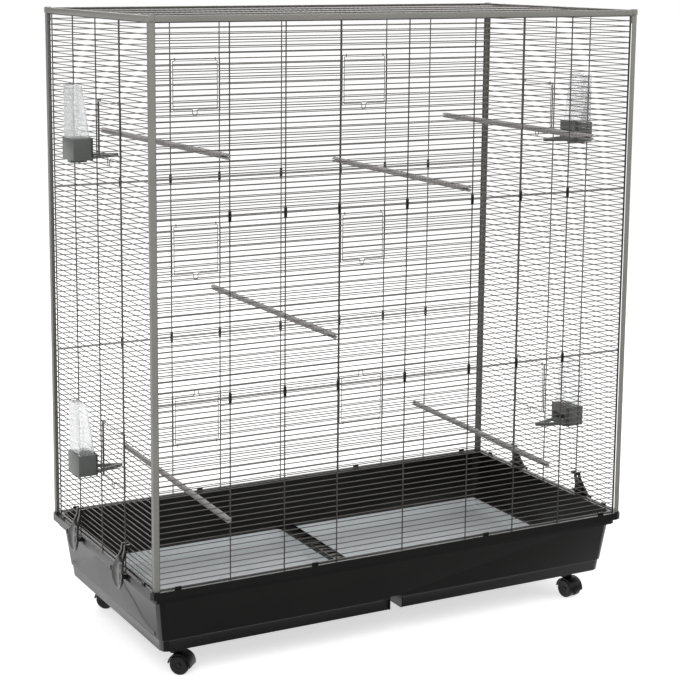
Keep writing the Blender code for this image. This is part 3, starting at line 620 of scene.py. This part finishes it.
panel = {
    # Upper half of the clip over the uprights of two panels, from its waist: (radius, height)
    "clip": ((2.8, 0.5), (3.4, 1.2), (3.1, 10), (2.3, 11), (0, 11)),
    "clipSides": 12,
    "clipOut": 2.9 * mm,
    "longUprights": (0, 162 * mm, 286.5 * mm, 411 * mm),
    "doorCentre": 224.25 * mm,
    "doorHalf": 60.5 * mm,
    "doorRows": 10,
    "backDoors": {"lower": 10, "middle": 44, "upper": 76},
    "sideDoors": {"lower": 14, "upper": 71},
    "sideDoorCentre": 66 * mm,
    "feederCentre": -66 * mm,
    "feederHalf": 32 * mm,
    "feederRows": {"lower": 13, "upper": 70},
    "feederOpeningRows": 4,
}

clipHalf = [(radius * mm, height * mm) for radius, height in panel["clip"]]
clipProfile = [(radius, -height) for radius, height in reversed(clipHalf)] + clipHalf
clipMesh = asMesh(spinProfile(clipProfile, panel["clipSides"]))
upAlongWall = Matrix.Rotation(math.radians(-90), 4, "X")


def wirePanel(half, low, high, rungs, uprights, openings=()):
    # Openings are (centre, half width, height of the rung below, height of the rung above)
    shape = bmesh.new()
    thin, thick, out = cage["rungRadius"], cage["uprightRadius"], cage["uprightOut"]
    for height in [low + thin, *rungs, high - thin]:
        start = -half + thick
        for centre, halfOpening, below, above in sorted(openings):
            if below < height < above:
                addRod(shape, (start, height, 0), (centre - halfOpening - thick, height, 0), thin)
                start = centre + halfOpening + thick
        addRod(shape, (start, height, 0), (half - thick, height, 0), thin)
    for edge in (-half + thick, half - thick):
        addRod(shape, (edge, low, 0), (edge, high, 0), thick)
    for centre, halfOpening, below, above in openings:
        for sign in (-1, 1):
            edge = centre + sign * (halfOpening + thick)
            addRod(shape, (edge, below, 0), (edge, above, 0), thick)
    for x in uprights:
        addRod(shape, (x, low + thin, out), (x, high - thin, out), thick)
    return shape


def doorOpening(centre, row):
    pitch = cage["pitch"]
    return (centre, panel["doorHalf"], row * pitch, (row + panel["doorRows"]) * pitch)


def feederOpening(centre, row):
    pitch = cage["pitch"]
    return (centre, panel["feederHalf"], row * pitch, (row + panel["feederOpeningRows"]) * pitch)


halfLong = cage["halfX"] - cage["angle"] / 2 - cage["play"]
halfShort = cage["halfY"] - cage["angle"] / 2 - cage["play"]
longUprights = sorted({sign * x for x in panel["longUprights"] for sign in (-1, 1)})
for side in ("front", "back"):
    for tier, first, last in cage["tiers"]:
        nodeName = f"{side}_panel_{tier}"
        low, high = first * cage["pitch"] + cage["play"] / 2, last * cage["pitch"] - cage["play"] / 2
        rungs = [row * cage["pitch"] for row in range(first + 1, last)]
        openings = []
        if side == "back":
            openings = [
                doorOpening(sign * panel["doorCentre"], panel["backDoors"][tier]) for sign in (-1, 1)
            ]
        wires = wirePanel(halfLong, low, high, rungs, longUprights, openings)
        wires.transform(wallPlace(side))
        addPiece(f"{side}Wires_{tier}", wires, "dark_wire", bodyOf(nodeName), [nodeName])
        if tier != "upper":
            clips = bmesh.new()
            for x in longUprights:
                stamp(clips, clipMesh, wallPlace(side) @ shift(x, high, panel["clipOut"]) @ upAlongWall)
            addPiece(f"{side}Clips_{tier}", clips, "black_plastic", bodyOf(nodeName))
for side in ("left", "right"):
    openings = [doorOpening(panel["sideDoorCentre"], row) for row in panel["sideDoors"].values()]
    openings += [feederOpening(panel["feederCentre"], row) for row in panel["feederRows"].values()]
    top = cage["rows"] * cage["pitch"] - cage["play"]
    rungs = [row * cage["pitch"] for row in range(1, cage["rows"])]
    wires = wirePanel(halfShort, cage["play"], top, rungs, cage["sideUprights"], openings)
    wires.transform(wallPlace(side))
    addPiece(f"{side}Wires", wires, "dark_wire", bodyOf(f"{side}_panel"), [f"{side}_panel"])
print("wall wires made")

roofRungs = [halfLong * (2 * row / cage["rows"] - 1) for row in range(1, cage["rows"])]
roofWires = wirePanel(halfShort, -halfLong, halfLong, roofRungs, cage["sideUprights"])
quarterTurn = Matrix.Rotation(math.radians(-90), 4, "Z")
roofWires.transform(shift(0, 0, cage["frameTop"] - cage["angle"] / 2) @ quarterTurn)
addPiece("roofWires", roofWires, "dark_wire", bodyOf("roof_panel"), ["roof_panel"])
print("roof wires made")

door = {
    "half": 57 * mm,
    "head": -3.4 * mm,
    "foot": -117.7 * mm,
    "sideWire": 0.85 * mm,
    "headWire": 0.75 * mm,
    "loopWire": 0.7 * mm,
    "loopSides": 6,
    "loopRadius": 2.4 * mm,
    "loopInset": 6 * mm,
    "loopStart": -0.96 * mm,  # where it leaves the head wire, inwards
    "loopAngles": range(-150, 211, 30),
    "latchWire": 0.9 * mm,
    "latchHalf": 5.6 * mm,
    "latchReach": 15 * mm,
    "latchOut": 2.2 * mm,
    # The bend into the latch: (beside it, above the foot wire, share of the way out)
    "latchShoulder": ((5, 0, 0), (1.5, -0.5, 0.5), (0, -3, 1)),
    "latchAngles": range(210, 331, 30),
}


def doorWires():
    shape = bmesh.new()
    thin, thick = cage["rungRadius"], door["sideWire"]
    half, foot, head = door["half"] - thick, door["foot"] + thin, door["head"] - thin
    for row in range(1, panel["doorRows"]):
        addRod(shape, (-half, -row * cage["pitch"], 0), (half, -row * cage["pitch"], 0), thin)
    for sign in (-1, 1):
        addRod(shape, (sign * half, foot, 0), (sign * half, head, 0), thick)
        # The loop goes once round the hinge wire
        loopX, radius = sign * (door["half"] - door["loopInset"]), door["loopRadius"]
        loop = [(loopX, head, door["loopStart"])]
        for angle in map(math.radians, door["loopAngles"]):
            loop.append((loopX, radius * math.sin(angle), radius * math.cos(angle)))
        bendWire(shape, loop, door["loopWire"], door["loopSides"])
    addRod(shape, (-half, head, 0), (half, head, 0), door["headWire"])
    # The foot wire comes in from each side and bends down into the latch
    out, narrow = door["latchOut"], door["latchHalf"]
    low = foot - door["latchReach"] + narrow
    leftSide = [(-half, foot, 0)]
    for beside, above, share in door["latchShoulder"]:
        leftSide.append((-narrow - beside * mm, foot + above * mm, out * share))
    leftSide.append((-narrow, low, out))
    bend = []
    for angle in map(math.radians, door["latchAngles"]):
        bend.append((narrow * math.cos(angle), low + narrow * math.sin(angle), out))
    rightSide = [(-x, y, z) for x, y, z in reversed(leftSide)]
    bendWire(shape, leftSide + bend + rightSide, door["latchWire"])
    return asMesh(shape)


doorMesh = doorWires()
halfTurn = Matrix.Rotation(math.radians(180), 4, "Z")
doorPlaces = {}
for tier, row in panel["backDoors"].items():
    hingeRow = row if tier == "lower" else row + panel["doorRows"]
    for side, sign in (("left", 1), ("right", -1)):
        place = wallPlace("back") @ shift(sign * panel["doorCentre"], hingeRow * cage["pitch"], 0)
        doorPlaces[f"back_door_{side}_{tier}"] = place @ halfTurn if tier == "lower" else place
for side in ("left", "right"):
    for tier, row in panel["sideDoors"].items():
        height = (row + panel["doorRows"]) * cage["pitch"]
        doorPlaces[f"{side}_door_{tier}"] = wallPlace(side) @ shift(panel["sideDoorCentre"], height, 0)
for nodeName, place in doorPlaces.items():
    shape = bmesh.new()
    stamp(shape, doorMesh, place)
    addPiece(f"{nodeName}_wires", shape, "dark_wire", bodyOf(nodeName), [nodeName])
print("doors made:", len(doorPlaces))

base = {
    "edgeRound": 0.9 * mm,
    "shadeSharpOver": 18,
    # The ladder along the channel: ribs across it between two rails
    "ribPitch": 22 * mm,
    "ribHalf": 14 * mm,
    "ribThick": 3.2 * mm,
    "ribTop": 107 * mm,
    "railThick": 3 * mm,
    "railTop": 107.5 * mm,
    "ladderFoot": 103 * mm,
    "ladderReach": 262 * mm,
    "ladderRound": 0.6 * mm,
    # The end walls' raised panel: (distance from the middle, height from the rim)
    "panelEdge": (
        (59, -29),
        (70, -31),
        (81, -37),
        (104, -51),
        (132, -62),
        (156, -75),
        (178, -88),
        (208, -97),
        (240, -102),
    ),
    "panelFoot": -113 * mm,
    "panelProud": 1.6 * mm,
    "panelSink": -0.96 * mm,
    "panelBorder": 9 * mm,
    "panelBorderLimit": 0.6,  # of the panel's height, where it is low
    # How the border falls: (share of it below the edge, share of the proud height)
    "panelFall": ((1, 1), (0.65, 0.8), (0.3, 0.25), (0, 0)),
    "wallTop": -4 * mm,
    "wallLean": 14 / 114.5,  # millimetres outwards over millimetres up
}

baseShape = softened("base_tray", base["edgeRound"])
addPiece(
    "baseShell", baseShape, "black_plastic", bodyOf("base_tray"), ["base_tray"], base["shadeSharpOver"]
)

# The ladder that stands between the floor trays
ribShape = bmesh.new()
ribCount = int(2 * base["ladderReach"] / base["ribPitch"])
ribHalf, thick, foot = base["ribHalf"], base["ribThick"] / 2, base["ladderFoot"]
rib = asMesh(softBox((-ribHalf, -thick, foot), (ribHalf, thick, base["ribTop"]), base["ladderRound"]))
for index in range(ribCount + 1):
    stamp(ribShape, rib, shift(0, (index - ribCount / 2) * base["ribPitch"], 0))
thick, reach = base["railThick"] / 2, base["ladderReach"]
rail = asMesh(softBox((-thick, -reach, foot), (thick, reach, base["railTop"]), base["ladderRound"]))
for sign in (-1, 1):
    stamp(ribShape, rail, shift(sign * ribHalf, 0, 0))
addPiece("channelRibs", ribShape, "black_plastic", bodyOf("base_tray"))

# Each end wall swells between the levers, with hollows towards the corners
edge = [(y * mm, height * mm) for y, height in base["panelEdge"]]
for side in ("left", "right"):
    shape = bmesh.new()
    loops = []
    for y, top in [(-y, height) for y, height in reversed(edge)] + edge:
        foot, proud, sink = base["panelFoot"], base["panelProud"], base["panelSink"]
        border = min(base["panelBorder"], base["panelBorderLimit"] * (top - foot))
        section = [(foot, sink), (foot, proud)]
        section += [(top - share * border, lift * proud) for share, lift in base["panelFall"]]
        section.append((top, sink))
        verts = []
        for height, out in section:
            out += base["wallTop"] + base["wallLean"] * height
            verts.append(shape.verts.new((y, height, out)))
        loops.append([shape.edges.new(pair) for pair in zip(verts, verts[1:] + verts[:1])])
    for one, two in zip(loops, loops[1:]):
        bmesh.ops.bridge_loops(shape, edges=one + two)
    for loop in (loops[0], loops[-1]):
        bmesh.ops.contextual_create(shape, geom=loop)
    bmesh.ops.recalc_face_normals(shape, faces=shape.faces)
    shape.transform(wallPlace(side))
    addPiece(f"{side}EndPanel", shape, "black_plastic", bodyOf("base_tray"))
print("base made")

floorTray = {"edgeRound": 0.8 * mm, "roundSegments": 3}
for side in ("left", "right"):
    nodeName = f"floor_tray_{side}"
    shape = softened(nodeName, floorTray["edgeRound"], floorTray["roundSegments"])
    addPiece(f"{side}FloorTray", shape, "pale_plastic", bodyOf(nodeName), [nodeName])
print("floor trays made")

perch = {
    "radius": 6.48 * mm,
    "sides": 16,
    "half": 304 * mm,
    "ringPitch": 5.6 * mm,
    # A groove between two rings: (distance along the perch, depth)
    "groove": ((0, 0), (0.9 * mm, 0.25 * mm), (1.7 * mm, 0.25 * mm), (2.6 * mm, 0)),
    "slitFrom": 286 * mm,
    "slitHalf": 1.3 * mm,
    "tipOverlap": 1 * mm,
    "tipBevel": 1 * mm,
    # Where each end meets its wall: X at the back, X at the front, row of the wires
    "places": {
        "perch_upper_left": (-446, -421, 73),
        "perch_upper_right": (464, 462, 73),
        "perch_upper_middle": (151, 146, 65),
        "perch_middle": (-174, -177, 41),
        "perch_lower_left": (-402, -420, 11),
        "perch_lower_right": (389, 371, 12),
    },
}


def perchRod():
    # The rings stop short of the ends, which are split to slide over a rung
    radius, reach, half = perch["radius"], perch["slitFrom"], perch["half"]
    profile = [(0, -reach), (radius, -reach)]
    for index in range(int(2 * reach / perch["ringPitch"])):
        start = (index + 0.5) * perch["ringPitch"] - reach
        profile += [(radius - depth, start + along) for along, depth in perch["groove"]]
    profile += [(radius, reach), (0, reach)]
    shape = bmesh.new()
    lay = Matrix.Rotation(math.radians(-90), 4, "X")
    stamp(shape, asMesh(spinProfile(profile, perch["sides"])), lay)
    bevel, tipFrom = perch["tipBevel"], reach - perch["tipOverlap"]
    tip = [(0, tipFrom), (radius, tipFrom), (radius, half - bevel), (radius - bevel, half), (0, half)]
    for side in (1, -1):
        for end in (0, 180):
            lip = spinProfile(tip, perch["sides"])
            bmesh.ops.remove_doubles(lip, verts=lip.verts, dist=meshing["double"])
            lip.transform(Matrix.Rotation(math.radians(end), 4, "Z") @ lay)
            bmesh.ops.bisect_plane(
                lip,
                geom=lip.verts[:] + lip.edges[:] + lip.faces[:],
                plane_co=(0, 0, side * perch["slitHalf"]),
                plane_no=(0, 0, side),
                clear_inner=True,
            )
            bmesh.ops.holes_fill(lip, edges=[edge for edge in lip.edges if edge.is_boundary])
            stamp(shape, asMesh(lip), Matrix())
    return asMesh(shape)


perchMesh = perchRod()
for nodeName, (backX, frontX, row) in perch["places"].items():
    skew = Matrix.Rotation(math.atan2((frontX - backX) * mm, 2 * cage["halfY"]), 4, "Z")
    shape = bmesh.new()
    height = cage["rimTop"] + row * cage["pitch"]
    stamp(shape, perchMesh, shift((backX + frontX) / 2 * mm, 0, height) @ skew)
    addPiece(f"{nodeName}_ribbed", shape, "perch_plastic", bodyOf(nodeName), [nodeName])
print("perches made:", len(perch["places"]))

# Each half of a feeder: its finish, and how far its edges are rounded
feeder = {"trough": ("trough_plastic", 0.6 * mm), "silo": ("clear_plastic", 0.4 * mm)}
for side in ("left", "right"):
    for tier in ("lower", "upper"):
        for half, (finish, edgeRound) in feeder.items():
            nodeName = f"feeder_{half}_{side}_{tier}"
            shape = softened(nodeName, edgeRound)
            addPiece(f"{nodeName}_shell", shape, finish, bodyOf(nodeName), [nodeName])
print("feeders made")

# The lever's blade is dished behind a raised lip
lever = {
    "dishTop": 14 * mm,
    "lip": 3 * mm,
    "slope": 2.4 * mm,
    "dish": 1.8 * mm,
    "pinFace": 100 * mm * mm,  # the faces of the pins at its sides are smaller, and stay round
    "facing": 0.8,  # share of a face's normal that points outwards
    "edgeRound": 0.9 * mm,
    "roundSegments": 3,
}
for side in ("left", "right"):
    for end in ("front", "back"):
        nodeName = f"base_lever_{side}_{end}"
        shape = cleaned(nodeName)
        sign = -1 if side == "left" else 1
        front = [
            face
            for face in shape.faces
            if face.normal.x * sign > lever["facing"]
            and face.calc_area() > lever["pinFace"]
            and face.calc_center_median().z < cage["rimTop"] + lever["dishTop"]
        ]
        bmesh.ops.inset_region(shape, faces=front, thickness=lever["lip"], use_even_offset=True)
        bmesh.ops.inset_region(
            shape, faces=front, thickness=lever["slope"], depth=-lever["dish"], use_even_offset=True
        )
        rounded(shape, lever["edgeRound"], lever["roundSegments"])
        addPiece(f"{nodeName}_shell", shape, "smoked_plastic", bodyOf(nodeName), [nodeName])
print("levers made")

castor = {
    "turns": {"front_left": 134, "back_left": 134, "front_right": 100, "back_right": 100},
    "stemX": 499 * mm,
    "stemY": 211 * mm,
    "trail": 12 * mm,
    "wheelRadius": 21 * mm,
    # One half of the sections of hood, web and boss: (radius from the axle, distance along it)
    "hood": ((25.5, 17.2), (25.2, 18.1), (24.4, 18.3), (22.6, 18.3), (22.6, 17.4), (22.9, 16.6)),
    "hoodFrom": -5,
    "hoodSpan": 180,
    "hoodSteps": 22,
    "web": ((23.8, 4.1), (5, 4.1)),
    "webFrom": -20,
    "webSpan": 150,
    "webSteps": 20,
    "boss": ((8, 4.1), (4.3, 4.1)),
    # Neck between the wheels: two corners of a box, and the slope cut off its front
    "neck": ((-12, -8, 42), (12.3, 8, 57.6)),
    "neckRound": 1.6 * mm,
    "neckSegments": 3,
    "neckCut": (12.3, 0, 46),
    "neckSlope": (1, 0, -0.9),
    # Swivel race and stem: (radius, height)
    "race": (
        (0, 53),
        (9, 53),
        (10.6, 53.8),
        (11.4, 55),
        (11.4, 56.6),
        (10.6, 57.6),
        (5, 57.6),
        (4.9, 68.2),
        (4.2, 68.8),
        (0, 68.8),
    ),
    "turnedSteps": 24,
    # One half of the wheels, from the outer hub cap in to the axle: (radius, distance along it)
    "wheel": (
        (0, 17.2), (3.2, 17.2), (4.4, 16.6), (5, 15.4), (7.4, 15.2), (8, 16.2), (14.2, 16.6), (15, 17.6),
        (18.6, 17.8), (19.8, 17.4), (20.8, 16.2), (21, 14.6), (21, 12), (20.7, 11.6), (20.7, 11),
        (21, 10.6), (21, 7.6), (20.7, 5.6), (19.8, 4.8), (17, 4.5), (4, 4.5), (4, 0),
    ),
    "wheelSteps": 40,
}
layOver = Matrix.Rotation(math.radians(90), 4, "X")  # from an axis along Z to the axle's


def castorProfile(part):
    return [(radius * mm, along * mm) for radius, along in castor[part]]


def ringProfile(part):
    # Both halves, mirrored about the castor's middle
    half = castorProfile(part)
    return half + [(radius, -along) for radius, along in reversed(half)]


def castorHousing():
    shape = bmesh.new()
    axle = shift(-castor["trail"], 0, castor["wheelRadius"])
    for part in ("hood", "web"):
        turned = spinProfile(ringProfile(part), castor[f"{part}Steps"], math.radians(castor[f"{part}Span"]))
        lead = Matrix.Rotation(math.radians(castor[f"{part}From"]), 4, "Y")
        stamp(shape, asMesh(turned), axle @ lead @ layOver)
    boss = ringProfile("boss")
    stamp(shape, asMesh(spinProfile(boss + boss[:1], castor["turnedSteps"])), axle @ layOver)
    low, high = [[size * mm for size in corner] for corner in castor["neck"]]
    neck = softBox(low, high, castor["neckRound"], castor["neckSegments"])
    bmesh.ops.bisect_plane(
        neck,
        geom=neck.verts[:] + neck.edges[:] + neck.faces[:],
        plane_co=[size * mm for size in castor["neckCut"]],
        plane_no=castor["neckSlope"],
        clear_outer=True,
    )
    bmesh.ops.holes_fill(neck, edges=[edge for edge in neck.edges if edge.is_boundary])
    stamp(shape, asMesh(neck), Matrix())
    stamp(shape, asMesh(spinProfile(castorProfile("race"), castor["turnedSteps"])), Matrix())
    return asMesh(shape)


def castorWheels():
    half = castorProfile("wheel")
    profile = half + [(radius, -along) for radius, along in reversed(half[:-1])]
    shape = bmesh.new()
    stamp(shape, asMesh(spinProfile(profile, castor["wheelSteps"])), layOver)
    return asMesh(shape)


housingMesh, wheelsMesh = castorHousing(), castorWheels()
for where, turn in castor["turns"].items():
    x = castor["stemX"] * (1 if where.endswith("right") else -1)
    y = castor["stemY"] * (1 if where.startswith("back") else -1)
    place = shift(x, y, 0) @ Matrix.Rotation(math.radians(turn), 4, "Z")
    for nodeName, mesh, offset in (
        (f"castor_housing_{where}", housingMesh, Matrix()),
        (f"castor_wheels_{where}", wheelsMesh, shift(-castor["trail"], 0, castor["wheelRadius"])),
    ):
        shape = bmesh.new()
        stamp(shape, mesh, place @ offset)
        addPiece(f"{nodeName}_moulding", shape, "castor_plastic", bodyOf(nodeName), [nodeName])
print("castors made")

# Rolled angles have eased edges, and the corner connectors moulded ones
easedEdges = {"post_": 0.5 * mm, "top_rail_": 0.5 * mm, "corner_block_": 0.7 * mm}
for nodeName in sorted(nodes):
    for start, radius in easedEdges.items():
        if nodeName.startswith(start):
            shape = softened(nodeName, radius)
            addPiece(f"{nodeName}_eased", shape, "grey_paint", bodyOf(nodeName), [nodeName])
print("frame dressed")


def backdropView(tree):
    # Seen by the camera or through clear plastic, and seen in a reflection
    path = addNode(tree, "ShaderNodeLightPath")
    seen = addNode(
        tree,
        "ShaderNodeMath",
        {0: path.outputs["Is Camera Ray"], 1: path.outputs["Is Transmission Ray"]},
        operation="MAXIMUM",
    )
    return seen.outputs[0], path.outputs["Is Glossy Ray"]


def paleFloor():
    # A white floor that takes the shadow, with a dark card before the object that only gloss sees
    material, tree, shader, where = startMaterial(
        "paleFloor", {"Roughness": 0.9, "Specular IOR Level": 0.0}
    )
    seen, glossy = backdropView(tree)
    card = addNode(
        tree,
        "ShaderNodeMapRange",
        {
            "Value": addNode(tree, "ShaderNodeSeparateXYZ", {0: where}).outputs["Y"],
            "From Min": light["cardFrom"],
            "From Max": light["cardTo"],
            "To Min": light["cardGloss"],
            "To Max": light["openGloss"],
        },
    )
    tone = addNode(
        tree,
        "ShaderNodeMix",
        {0: glossy, 6: linear(light["floorTone"]), 7: linear(light["cardTone"])},
        data_type="RGBA",
    )
    glow = addNode(tree, "ShaderNodeMath", {0: seen, 1: light["floorGlow"]}, operation="MULTIPLY")
    both = addNode(tree, "ShaderNodeMath", {0: glossy, 1: card.outputs[0]}, operation="MULTIPLY")
    total = addNode(tree, "ShaderNodeMath", {0: glow.outputs[0], 1: both.outputs[0]}, operation="ADD")
    shader.inputs["Emission Color"].default_value = (1, 1, 1, 1)
    connect(tree, tone.outputs[2], shader, "Base Color")
    connect(tree, total.outputs[0], shader, "Emission Strength")
    return material


light = {
    "floorSize": 30,
    "floorTone": "#f4f4f4",
    "floorGlow": 0.6,
    "skyForLight": 0.5,
    "cardTone": "#272727",
    "cardFrom": -0.29,  # Y where the card ends and the bright floor begins
    "cardTo": -0.26,
    "cardGloss": 0.2,
    "openGloss": 1.15,
    "lowGloss": 0.15,  # a dark flag under the softbox
    "softboxGloss": 3.2,  # a long softbox behind the object
    "overheadGloss": 1.5,
    "lampsAimAt": (0, 0, 0.6),
    "lamps": (
        # name, place, size, watts
        ("keyLamp", (-2.6, -3.4, 3.4), 2.4, 95),
        ("fillLamp", (3.4, -2.4, 2.2), 2.6, 40),
        ("backLamp", (0.6, 3.6, 3.0), 2.6, 45),
    ),
}
# How gloss changes with the direction it sees: axis, start, end, gloss before, gloss after
glossRamps = {
    "room": ("Y", -0.5, 0.1, light["cardGloss"], light["openGloss"]),
    "softboxFoot": ("Z", 0.2, 0.34, light["lowGloss"], light["softboxGloss"]),
    "softboxHead": ("Z", 0.45, 0.75, light["softboxGloss"], light["overheadGloss"]),
    "behind": ("Y", 0.2, 0.6, 0, 1),
    "overhead": ("Z", 0.2, 0.55, 0, light["overheadGloss"]),
}

floorShape = bmesh.new()
bmesh.ops.create_grid(floorShape, x_segments=1, y_segments=1, size=light["floorSize"])
floorMesh = bpy.data.meshes.new("paleFloor")
floorShape.to_mesh(floorMesh)
floorShape.free()
floorMesh.materials.append(paleFloor())
floor = bpy.data.objects.new("paleFloor", floorMesh)
bpy.context.scene.collection.objects.link(floor)

world = bpy.data.worlds.new("studioWhite")
bpy.context.scene.world = world
world.use_nodes = True
tree = world.node_tree
seen, glossy = backdropView(tree)
toward = addNode(tree, "ShaderNodeTexCoord").outputs["Generated"]
way = addNode(tree, "ShaderNodeSeparateXYZ", {0: toward}).outputs
ramps = {}
for name, (axis, start, end, before, after) in glossRamps.items():
    ramps[name] = addNode(
        tree,
        "ShaderNodeMapRange",
        {"Value": way[axis], "From Min": start, "From Max": end, "To Min": before, "To Max": after},
    ).outputs[0]
softbox = addNode(
    tree, "ShaderNodeMath", {0: ramps["softboxFoot"], 1: ramps["softboxHead"]}, operation="MINIMUM"
)
banded = addNode(
    tree,
    "ShaderNodeMix",
    {0: ramps["behind"], 2: ramps["room"], 3: softbox.outputs[0]},
    data_type="FLOAT",
)
mirrored = addNode(
    tree, "ShaderNodeMath", {0: banded.outputs[0], 1: ramps["overhead"]}, operation="MAXIMUM"
)
plain = addNode(tree, "ShaderNodeMapRange", {"Value": seen, "To Min": light["skyForLight"], "To Max": 1.0})
strength = addNode(
    tree, "ShaderNodeMix", {0: glossy, 2: plain.outputs[0], 3: mirrored.outputs[0]}, data_type="FLOAT"
)
tree.nodes["Background"].inputs["Color"].default_value = (1, 1, 1, 1)
tree.links.new(strength.outputs[0], tree.nodes["Background"].inputs["Strength"])

for name, place, size, watts in light["lamps"]:
    data = bpy.data.lights.new(name, "AREA")
    data.size = size
    data.energy = watts
    lamp = bpy.data.objects.new(name, data)
    lamp.location = place
    toward = Vector(light["lampsAimAt"]) - Vector(place)
    lamp.rotation_euler = toward.to_track_quat("-Z", "Y").to_euler()
    lamp.visible_glossy = False  # gloss sees the card and the softbox instead
    bpy.context.scene.collection.objects.link(lamp)

view = {
    "place": (-1.8863, -3.4030, 1.4788),
    "yaw": 27.662,
    "pitch": 9.787,
    "roll": 0.277,
    "lens": 92.70,
    "shift": (0.06, -0.12),
}
camera = bpy.data.objects.new("camera", bpy.data.cameras.new("camera"))
camera.data.lens = view["lens"]
camera.data.shift_x, camera.data.shift_y = view["shift"]
camera.data.clip_end = 100
yaw = Matrix.Rotation(math.radians(-view["yaw"]), 4, "Z")
pitch = Matrix.Rotation(math.radians(90 - view["pitch"]), 4, "X")
roll = Matrix.Rotation(math.radians(view["roll"]), 4, "Z")
camera.matrix_world = Matrix.Translation(view["place"]) @ yaw @ pitch @ roll
bpy.context.scene.collection.objects.link(camera)
bpy.context.scene.camera = camera
bpy.context.scene.view_settings.view_transform = "Standard"
print("light and camera set")
